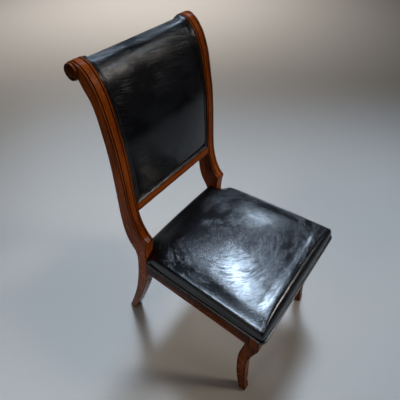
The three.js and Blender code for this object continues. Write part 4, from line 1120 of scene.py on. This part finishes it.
class SeatShape:
    """Plan of the cushion and its height over the plan."""

    def __init__(self):
        s, p = sizes(), pads()
        self.post = PostShape()
        self.base = s.rail_top + s.gap
        front = LEG_BOX[0].y - STEP_Y
        self.splay = (s.post_outer + LEG_BOX[0].x) / (front + s.leg_block)
        self.front = front - p.front_overhang
        self.rear = p.setback
        self.middle = (front + p.setback) / 2
        self.notch_x = s.post_outer - s.post_width - p.notch_gap

    def side_at(self, y):
        """Half width of the cushion at a depth."""
        return sizes().post_outer - self.splay * y + pads().overhang

    def plan(self, height, count):
        """Closed plan at a height: rear edge, notch round the post, side, front corner and front edge."""
        p = pads()
        notch_y = float(self.post.front_at(height)) - p.notch_gap
        shoulder = self.side_at(notch_y)
        r = p.rear_radius
        turn = p.corner_radius
        corner_y = self.front + turn
        corner_x = self.side_at(corner_y) - turn
        rear_turn = arc((shoulder - r, notch_y - r), r, 90, 0, 12)
        inset = 0.004
        inner = arc((self.notch_x - inset, self.rear - inset), inset, 90, 0, 8)
        front_turn = arc((corner_x, corner_y), turn, 0, -90, 24)
        side = np.linspace(rear_turn[-1], front_turn[0], 60)[1:-1]
        rear = np.linspace([0, self.rear], inner[0], 30)[:-1]
        wall = np.linspace(inner[-1], [self.notch_x, notch_y], 14)[1:]
        ledge = np.linspace([self.notch_x, notch_y], rear_turn[0], 16)[1:-1]
        edge = np.linspace(front_turn[-1], [0, self.front], 40)[1:]
        half = np.vstack([rear, inner, wall, ledge, rear_turn, side, front_turn, edge])
        half = spaced(half, count // 2 + 1)
        other = half[1:-1][::-1] * (-1, 1)
        return np.vstack([half, other]), notch_y

    def profile(self, table, distance):
        """Height by crown at distances from an edge: a cubic between a table's knots, where a knot's slope
        is the harmonic mean of the slopes beside it, or level where they differ in sign."""
        x, y = np.asarray(table, float).T
        step = np.diff(x)
        rise = np.diff(y) / step
        before, after = rise[:-1], rise[1:]
        same = before * after > 0
        inner = np.where(same, 2 * before * after / np.where(same, before + after, 1), 0)
        slope = np.concatenate([rise[:1], inner, rise[-1:]])
        i = np.clip(np.searchsorted(x, distance) - 1, 0, len(step) - 1)
        w = (np.clip(distance, x[0], x[-1]) - x[i]) / step[i]
        start = y[i] * (1 + 2 * w) + step[i] * slope[i] * w
        end = y[i + 1] * (3 - 2 * w) + step[i] * slope[i + 1] * (w - 1)
        return start * (1 - w) ** 2 + end * w**2

    def height_at(self, x, y, notch_y):
        """Share of the crown at plan places: a dome 1 - a u² - b v² + c u² v² less the fall of the edges,
        where several falls f are joined smoothly as ln(1 + sum of (exp(k f) - 1)) / k."""
        p = pads()
        x = np.abs(x)
        to_side = np.maximum(self.side_at(y) - x, 0)
        to_front = np.maximum(y - self.front, 0)
        to_rear = np.maximum(self.rear - y, 0)
        to_notch = np.hypot(np.maximum(self.notch_x - x, 0), np.maximum(notch_y - y, 0))
        by_post = fading(np.maximum(notch_y - y, 0), p.sink_reach)
        side = (self.profile(SIDE_FALL_SHARES, to_side) * (1 - by_post)
                + self.profile(SUNK_FALL_SHARES, to_side) * by_post)
        notch = p.notch_sink * np.exp(-to_notch / 0.02)
        front = self.profile(FRONT_FALL_SHARES, to_front)
        falls = (side, front, self.profile(REAR_FALL_SHARES, to_rear), notch)
        fall = np.log(1 + sum(np.exp(p.mitre * one) - 1 for one in falls)) / p.mitre
        u = np.clip(x / self.side_at(y), 0, 1) ** 2
        v = np.clip(np.abs(y - self.middle) / (self.rear - self.middle), 0, 1) ** 2
        return 1 - p.side_dome * u - p.front_dome * v + p.corner_lift * u * v - fall

    def surface(self, wall=16, top=110, count=400):
        """Points of the cushion by rings: up the wall, which swells by the bulge, then the plan drawn
        towards the middle, at the height that height_at gives there."""
        p = pads()
        plan, notch_y = self.plan(self.base + 0.03, count)
        edge = self.height_at(plan[:, 0], plan[:, 1], notch_y) * p.crown
        normal = mitre_normals(plan)
        free = self.freedom(plan, notch_y)
        layers = []
        for t in np.linspace(0, 1, wall):
            swell = p.bulge * free * np.sin(np.pi * t ** 0.8) * 0.9
            level = plan + normal * swell[:, None]
            layers.append(np.column_stack([level, self.base + t * edge]))
        centre = np.array([0, self.middle])
        sizes_in = 1 - np.linspace(0, 1, top) ** 2.2
        for size in sizes_in[1:]:
            flat = centre + (plan - centre) * size
            lift = self.height_at(flat[:, 0], flat[:, 1], notch_y) * p.crown
            layers.append(np.column_stack([flat, self.base + lift]))
        return np.array(layers)

    def freedom(self, plan, notch_y):
        """How free the wall is to bulge: not beside the posts, and less at the front corners."""
        near_post = fading(plan[:, 1] - notch_y, 0.04)
        behind = (plan[:, 1] > notch_y - 0.001) & (np.abs(plan[:, 0]) > self.notch_x - 0.004)
        corner = np.hypot(np.abs(plan[:, 0]) - self.side_at(self.front), plan[:, 1] - self.front)
        return np.where(behind, 0, 1 - near_post) * (1 - 0.6 * fading(corner, 0.04))


def soft_noise(points, scale, seed, octaves=4):
    """Sum of seeded sine waves in random directions: a smooth height that repeats nowhere nearby."""
    random = np.random.default_rng(seed)
    total = np.zeros(len(points))
    for octave in range(octaves):
        directions = random.normal(size=(6, 3))
        directions /= np.linalg.norm(directions, axis=1)[:, None]
        phases = random.uniform(0, 2 * np.pi, 6)
        waves = np.sin(points @ directions.T * scale * 1.9**octave * 2 * np.pi + phases)
        total += waves.mean(1) / 1.9**octave
    return total


class CHAIR_OT_seat_cover(bpy.types.Operator):
    """Leather cover of the seat: a crowned cushion notched round the posts"""

    bl_idname = "chair.seat_cover"
    bl_label = "Seat cover"

    def execute(self, context):
        shape = SeatShape()
        layers = shape.surface()
        rings, count = layers.shape[:2]
        points = layers.reshape(-1, 3)
        wave = 0.0004 * soft_noise(points, 7.0, 3)
        points[:, 2] += wave * smoothstep(points[:, 2], shape.base + 0.03, shape.base + 0.055)
        points[:, 1] += STEP_Y
        keep = points[: (rings - 1) * count]
        apex = points[(rings - 1) * count:].mean(0)
        points = np.vstack([keep, apex])
        faces = ring_faces(rings - 1, count)
        last = np.arange((rings - 2) * count, (rings - 1) * count)
        fan = [[int(a), int(b), len(points) - 1] for a, b in zip(last, np.roll(last, -1))]
        loops = [list(range(count))[::-1], *fan]
        reach = np.hypot(points[:, 0] * 0.9, points[:, 1] - STEP_Y - shape.middle)
        turn = np.arctan2(points[:, 0], points[:, 1] - STEP_Y - shape.middle)
        lay = np.column_stack([reach, np.abs(turn) * 0.12, points[:, 2] * 0])
        piece = mesh_object("seat_cover_leather", points, faces, loops, lay=lay)
        dress(piece, black_leather(), "black_leather", "seat_cover", "seat_foam")
        return {"FINISHED"}


class CHAIR_OT_dust_cloth(bpy.types.Operator):
    """Dust cloth stretched under the seat board, with its corners cut off round the corner blocks"""

    bl_idname = "chair.dust_cloth"
    bl_label = "Dust cloth"

    def execute(self, context):
        low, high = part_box("seat_dust_cloth")
        t = np.linspace(0, 1, 90)
        y = low.y + (high.y - low.y) * t
        p, s = pads(), sizes()
        cut = p.cloth_cut
        splay = SeatShape().splay
        side = high.x - splay * (y - low.y - cut)
        half = np.minimum(side, side[0] - splay * cut - cut + (y - low.y))
        half = np.minimum(half, side[-1] - cut + (high.y - y))
        u = np.linspace(-1, 1, 60)
        x = half[:, None] * u
        sag = p.cloth_sag * (1 - u**2) * (1 - (2 * t[:, None] - 1) ** 2)
        ripple = 0.0003 * np.sin(u * 19) * np.sin(t[:, None] * 23) * (1 - u**4)
        face = np.stack([x, np.broadcast_to(y[:, None], x.shape), high.z - sag + ripple - s.gap], -1)
        under = face[:, ::-1] - (0, 0, p.cloth_thickness)
        ring = np.concatenate([face, under], 1)
        rows, count = ring.shape[:2]
        piece = mesh_object("seat_dust_cloth_sheet", ring.reshape(-1, 3), ring_faces(rows, count),
                            end_loops(rows, count))
        cloth = plain_finish("Dust cloth", colours().cloth, 0.85, 0.0, 12.0, 0.0004)
        dress(piece, cloth, "dust_cloth", "seat_dust_cloth")
        return {"FINISHED"}


class CHAIR_OT_seat_welts(bpy.types.Operator):
    """Double welts at the foot of the seat: cords along its plan, offset by their own radius"""

    bl_idname = "chair.seat_welts"
    bl_label = "Seat welts"

    def execute(self, context):
        p, s = pads(), sizes()
        shape = SeatShape()
        plan, notch_y = shape.plan(shape.base, 720)
        normal = mitre_normals(plan)
        out = plan + normal * (p.welt_radius + 2 * s.gap)
        edge = np.abs(plan[:, 0]) > shape.notch_x + 0.004
        front = plan[:, 1] < notch_y - p.rear_radius
        keep = front & (edge | (plan[:, 1] < shape.middle))
        path = self.in_order(out[keep])
        y = shape.rear + p.welt_radius + 2 * s.gap + STEP_Y
        reach = shape.notch_x - p.welt_radius
        for order, name in enumerate(("lower", "upper")):
            z = shape.base + p.welt_radius + order * p.welt_pitch
            run = spaced(np.column_stack([path, np.full(len(path), z)]), 520)
            run[:, 1] += STEP_Y
            line = np.array([[x, y, z] for x in np.linspace(-reach, reach, 120)])
            for cord, along in ((f"seat_welt_{name}", run), (f"rear_seat_welt_{name}", line)):
                piece = tube(f"{cord}_leather", along, p.welt_radius)
                dress(piece, welt_leather(), "black_leather", cord)
        return {"FINISHED"}

    def in_order(self, points):
        """Runs from the left post round the front to the right post."""
        angle = np.arctan2(points[:, 0], -(points[:, 1] + 0.2))
        return points[np.argsort(-angle)]


class BackShape:
    """The pad's base line: the posts' front curve from the cross rail up, and on round the scroll."""

    def __init__(self):
        s = sizes()
        post = PostShape()
        self.post = post
        self.bottom = CROSS_BOX[1].z + s.gap
        front = post.upper_front[post.upper_front[:, 1] > self.bottom]
        start = [[float(post.front_at(self.bottom)), self.bottom]]
        scroll = arc(post.centre, s.scroll_radius, 90, math.degrees(ROLL_END), 60)[1:]
        self.base = spaced(np.vstack([start, front, scroll]), 260)

    def crown(self):
        """Share of the crown along the base line: nothing at the cross rail and over the roll."""
        z = self.base[:, 1]
        s, p = sizes(), pads()
        rise = s.height - s.step_height
        before_roll = np.arange(len(z)) <= np.argmax(z)
        low = smoothstep(z, self.bottom + p.welt_strip, self.bottom + p.welt_strip * 3)
        high = 1 - smoothstep(z, s.step_height + 0.6 * rise, s.step_height + 0.87 * rise)
        return low * high * before_roll


class CHAIR_OT_back_pad(bpy.types.Operator):
    """Leather pad of the back, from the cross rail over the roll to its underside"""

    bl_idname = "chair.back_pad"
    bl_label = "Back pad"

    def execute(self, context):
        s, p = sizes(), pads()
        shape = BackShape()
        base = shape.base
        edge = s.post_outer - s.post_width - s.gap
        dense = p.welt_strip * 2
        place = np.concatenate([np.linspace(0, dense, 26), np.linspace(dense, edge, 60)[1:]])
        across = np.concatenate([place - edge, (edge - place)[::-1][1:]])
        from_side = edge - np.abs(across)
        inside = np.minimum(from_side[:, None], travelled(base)[None])
        share = shape.crown()[None]
        lip = smoothstep(inside, p.welt_strip - 0.0012, p.welt_strip + 0.0015)
        width = np.clip((from_side - p.welt_strip) / (edge - p.welt_strip), 0, 1)[:, None]
        dome = (1 - (1 - width) ** 2.6) ** 0.7
        strip = p.pad_lip + p.back_welt_radius
        level = p.roll_inset * (1 - share) + p.pad_lip * share
        depth = strip + (level - strip) * lip - p.pad_crown * share * dome
        self.build(base, across, depth)
        return {"FINISHED"}

    def build(self, base, across, depth):
        """Front surface: the base line's points moved inward along its normals by the depth, in a grid of
        places across by points of the line. A plain copy of the line behind it closes it."""
        tangent = directions(base)
        normal = np.stack([-tangent[:, 1], tangent[:, 0]], 1)
        face = base[None] - normal[None] * depth[..., None]
        behind = base[None] - normal[None] * (pads().roll_inset + 0.0035)
        behind = np.broadcast_to(behind, face.shape)
        x = np.broadcast_to(across[:, None], face.shape[:2])
        rows, count = x.shape
        outer = np.stack([x, face[..., 0] + STEP_Y, face[..., 1]], -1)
        inner = np.stack([x, behind[..., 0] + STEP_Y, behind[..., 1]], -1)[:, ::-1]
        ring = np.concatenate([outer, inner], 1)
        points = ring.reshape(-1, 3)
        wave = 0.0006 * soft_noise(points, 8.0, 11)
        points[:, 1] += wave * (np.abs(points[:, 0]) < across.max() - 0.02)
        along = travelled(base)
        along = np.broadcast_to(np.concatenate([along, along[::-1]]), ring.shape[:2]).ravel()
        lay = np.column_stack([along + points[:, 0] * 0.2, points[:, 0] * 0.4, along * 0])
        piece = mesh_object("back_pad_leather", points, ring_faces(rows, 2 * count),
                            end_loops(rows, 2 * count), lay=lay)
        dress(piece, black_leather(), "black_leather", "back_pad")


class CHAIR_OT_back_welts(bpy.types.Operator):
    """Double welts of the back: cords beside the posts and along the cross rail"""

    bl_idname = "chair.back_welts"
    bl_label = "Back welts"

    def execute(self, context):
        s, p = sizes(), pads()
        shape = BackShape()
        radius = p.back_welt_radius
        scroll = arc(shape.post.centre, s.scroll_radius, 90, -45, 40)[1:]
        run = np.vstack([shape.post.upper_front, scroll])
        tangent = directions(run)
        sunk = run + np.stack([tangent[:, 1], -tangent[:, 0]], 1) * (radius + p.pad_lip)
        for order, name in enumerate(("outer", "inner")):
            step = radius + order * p.back_welt_pitch
            side = s.post_outer - s.post_width - s.gap - step
            foot = shape.bottom + step
            up = sunk[sunk[:, 1] > foot + 0.006]
            up = up[np.argmax(up[:, 1] > foot):]
            y = float(np.interp(foot, sunk[:60, 1], sunk[:60, 0]))
            half = softened(np.array([[0, 0, 0], [side, 0, 0]]) + (0, y, foot),
                            np.column_stack([np.full(len(up) + 1, side), [y, *up[:, 0]], [foot, *up[:, 1]]]),
                            0.005)
            left = half[::-1][:-1] * (-1, 1, 1)
            path = spaced(np.vstack([left, half]), 560)
            path[:, 1] += STEP_Y
            piece = tube(f"back_welt_{name}_leather", path, radius)
            dress(piece, welt_leather(), "black_leather", f"back_welt_{name}")
        return {"FINISHED"}


class CHAIR_OT_outside_back(bpy.types.Operator):
    """Leather panel behind the back, from under the roll to the cross rail"""

    bl_idname = "chair.outside_back"
    bl_label = "Outside back"

    def execute(self, context):
        s, p = sizes(), pads()
        post = PostShape()
        low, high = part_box("outside_back")
        z = np.linspace(low.z, high.z, 150)
        outer = np.stack([at_depth(post.back, z) - p.panel_inset, z], 1)
        outer = np.vstack([outer[:-1], self.under_roll(post, outer)])
        inner = outer - (p.panel_thickness, 0)
        loop = np.vstack([inner, outer[::-1]])
        edge = s.post_outer - s.post_width - s.gap
        across = np.linspace(-edge, edge, 60)
        swell = -0.0015 * (1 - (across / edge) ** 2)
        face = np.concatenate([np.zeros(len(inner)), np.ones(len(outer))])
        height = outer[:, 1]
        soft = np.minimum(height - height[0], height[-1] - height)
        tuck, reach = 0.001, 0.006
        ends = tuck * (1 - smoothstep(soft, 0, reach))
        ends = np.concatenate([np.zeros(len(height)), ends[::-1]])
        sides = tuck * (1 - smoothstep(edge - np.abs(across), 0, reach))
        depth = ((swell + sides)[:, None] + ends[None]) * face[None]
        piece = carried("outside_back_leather", loop, across, depth)
        piece.data.set_sharp_from_angle(angle=math.radians(60))
        dress(piece, black_leather(), "black_leather", "outside_back")
        return {"FINISHED"}

    def under_roll(self, post, line):
        """Top of the panel: a parabola that leaves the line along its tangent and ends at the roll's end."""
        radius = sizes().scroll_radius - pads().roll_inset
        turned = np.array([math.cos(ROLL_END), math.sin(ROLL_END)])
        end = post.centre + radius * turned - (0, sizes().gap * 3)
        tangent = line[-1] - line[-8]
        bend = line[-1] + tangent / np.linalg.norm(tangent) * np.linalg.norm(end - line[-1]) / 2
        t = np.linspace(0, 1, 12)[:, None]
        return (1 - t) ** 2 * line[-1] + 2 * t * (1 - t) * bend + t**2 * end


class CHAIR_OT_stage(bpy.types.Operator):
    """Camera at the photograph's angle, pale floor and soft studio lights"""

    bl_idname = "chair.stage"
    bl_label = "Stage"

    def execute(self, context):
        self.camera(context)
        self.floor()
        self.lights(context)
        return {"FINISHED"}

    def camera(self, context):
        """Camera at its place, turned by azimuth and elevation, then rolled about its line of sight."""
        t = context.scene.chair_studio
        data = bpy.data.cameras.new("Camera")
        data.sensor_width = 36
        data.lens = t.lens
        camera = bpy.data.objects.new("Camera", data)
        context.scene.collection.objects.link(camera)
        level = math.cos(t.elevation)
        back = Vector((math.sin(t.azimuth) * level, -math.cos(t.azimuth) * level, math.sin(t.elevation)))
        right = (-back).cross(Vector((0, 0, 1))).normalized()
        up = right.cross(-back)
        cosine, sine = math.cos(t.roll), math.sin(t.roll)
        turned = right * cosine + up * sine
        raised = up * cosine - right * sine
        matrix = Matrix((turned, raised, back)).transposed().to_4x4()
        matrix.translation = Vector(t.camera_place)
        camera.matrix_world = matrix
        context.scene.camera = camera

    def floor(self):
        """Disc at floor level: points at even angles on a circle."""
        radius, sides = 9, 64
        angle = np.linspace(0, 2 * np.pi, sides, endpoint=False)
        points = np.column_stack([radius * np.cos(angle), radius * np.sin(angle), np.zeros(sides)])
        mesh = bpy.data.meshes.new("Floor")
        mesh.from_pydata(points.tolist(), [], [list(range(sides))])
        floor = bpy.data.objects.new("Floor", mesh)
        bpy.context.scene.collection.objects.link(floor)
        material, _, shader, _ = new_material("Studio floor")
        shader.inputs["Base Color"].default_value = (*colours().floor, 1)
        shader.inputs["Roughness"].default_value = 0.9
        shader.inputs["Specular IOR Level"].default_value = 0.1
        mesh.materials.append(material)

    def lights(self, context):
        """A window high behind the chair's left with a bright wall beside it, a lower window, walls behind
        and beside the chair, softboxes for the frame and the back's top, a wash over the floor and a dim
        room."""
        seat, step, top = Vector((0, -0.05, 0.5)), Vector((-0.12, 0.2, 0.48)), Vector((-0.13, 0.2, 0.95))
        lamp = self.lamp
        lamp("High window", (2.26, 1.2, 5.95), seat, size=3.1, power=36, tint=(0.62, 0.79, 1.0), spread=18)
        lamp("Low window", (4.55, 1.55, 4.2), seat, size=0.7, power=0.55, tint=(0.65, 0.81, 1.0), spread=14)
        lamp("Bright wall", (2.2, 2.9, 5.4), seat, size=2.0, power=16, tint=(0.75, 0.88, 1.0))
        lamp("Rear wall", (0.8, 5.0, 2.6), seat, size=3.0, power=24, tint=(1.0, 0.97, 0.94))
        lamp("Front softbox", (0.75, -4.3, 3.05), step, size=1.6, power=0.6, tint=(1.0, 0.93, 0.84),
             spread=20)
        lamp("Step softbox", (2.0, -3.56, 3.15), step, size=1.0, power=3.8, tint=(1.0, 0.92, 0.82),
             spread=26)
        lamp("Top softbox", (2.95, -2.6, 3.8), top, size=1.8, power=0.5, tint=(0.85, 0.93, 1.0), spread=10)
        lamp("Left wall", (-2.6, 0.6, 2.0), step, size=1.0, power=0.85, tint=(1.0, 0.9, 0.8), spread=24)
        lamp("Floor wash", (3.2, 3.3, 6.0), Vector((3.2, 3.3, 0)), size=3.0, power=90,
             tint=(1.0, 0.98, 0.96), spread=60)
        world = bpy.data.worlds.new("Studio")
        world.use_nodes = True
        background = world.node_tree.nodes["Background"]
        background.inputs["Color"].default_value = (0.95, 0.97, 1.0, 1)
        background.inputs["Strength"].default_value = 0.03
        context.scene.world = world
        context.scene.view_settings.view_transform = "Standard"

    def lamp(self, name, place, target, size, power, tint, spread=180):
        """Square area light that faces a target, with its beam no wider than the spread in degrees."""
        data = bpy.data.lights.new(name, "AREA")
        data.shape = "SQUARE"
        data.size = size
        data.energy = power
        data.color = tint
        data.spread = math.radians(spread)
        lamp = bpy.data.objects.new(name, data)
        bpy.context.scene.collection.objects.link(lamp)
        aim = target - Vector(place)
        lamp.rotation_euler = aim.to_track_quat("-Z", "Y").to_euler()
        lamp.location = place


class CHAIR_PT_panel(bpy.types.Panel):
    """Buttons and sizes of the chair"""

    bl_idname = "CHAIR_PT_panel"
    bl_label = "Scroll-back chair"
    bl_space_type = "VIEW_3D"
    bl_region_type = "UI"
    bl_category = "Chair"

    def draw(self, context):
        layout = self.layout
        for operator in OPERATORS:
            layout.operator(operator.bl_idname)
        scene = context.scene
        for group in (scene.chair_sizes, scene.chair_pads, scene.chair_colours, scene.chair_studio):
            box = layout.box()
            for name in group.bl_rna.properties.keys():
                if name not in ("rna_type", "name"):
                    box.prop(group, name)


OPERATORS = (
    CHAIR_OT_stage, CHAIR_OT_posts, CHAIR_OT_front_legs, CHAIR_OT_rails, CHAIR_OT_rosettes,
    CHAIR_OT_joinery, CHAIR_OT_seat_cover, CHAIR_OT_dust_cloth, CHAIR_OT_seat_welts, CHAIR_OT_back_pad,
    CHAIR_OT_back_welts, CHAIR_OT_outside_back,
)
GROUPS = {"chair_sizes": ChairSizes, "chair_pads": UpholsterySizes, "chair_colours": ChairColours,
          "chair_studio": StudioSettings}


def register():
    for cls in (*GROUPS.values(), *OPERATORS, CHAIR_PT_panel):
        bpy.utils.register_class(cls)
    for name, cls in GROUPS.items():
        setattr(bpy.types.Scene, name, PointerProperty(type=cls))


def unregister():
    for name in GROUPS:
        delattr(bpy.types.Scene, name)
    for cls in reversed((*GROUPS.values(), *OPERATORS, CHAIR_PT_panel)):
        bpy.utils.unregister_class(cls)


def main():
    register()
    bpy.ops.chair.stage()
    bpy.ops.chair.posts()
    bpy.ops.chair.front_legs()
    bpy.ops.chair.rails()
    bpy.ops.chair.rosettes()
    bpy.ops.chair.joinery()
    bpy.ops.chair.seat_cover()
    bpy.ops.chair.dust_cloth()
    bpy.ops.chair.seat_welts()
    bpy.ops.chair.back_pad()
    bpy.ops.chair.back_welts()
    bpy.ops.chair.outside_back()


if __name__ == "__main__":
    main()
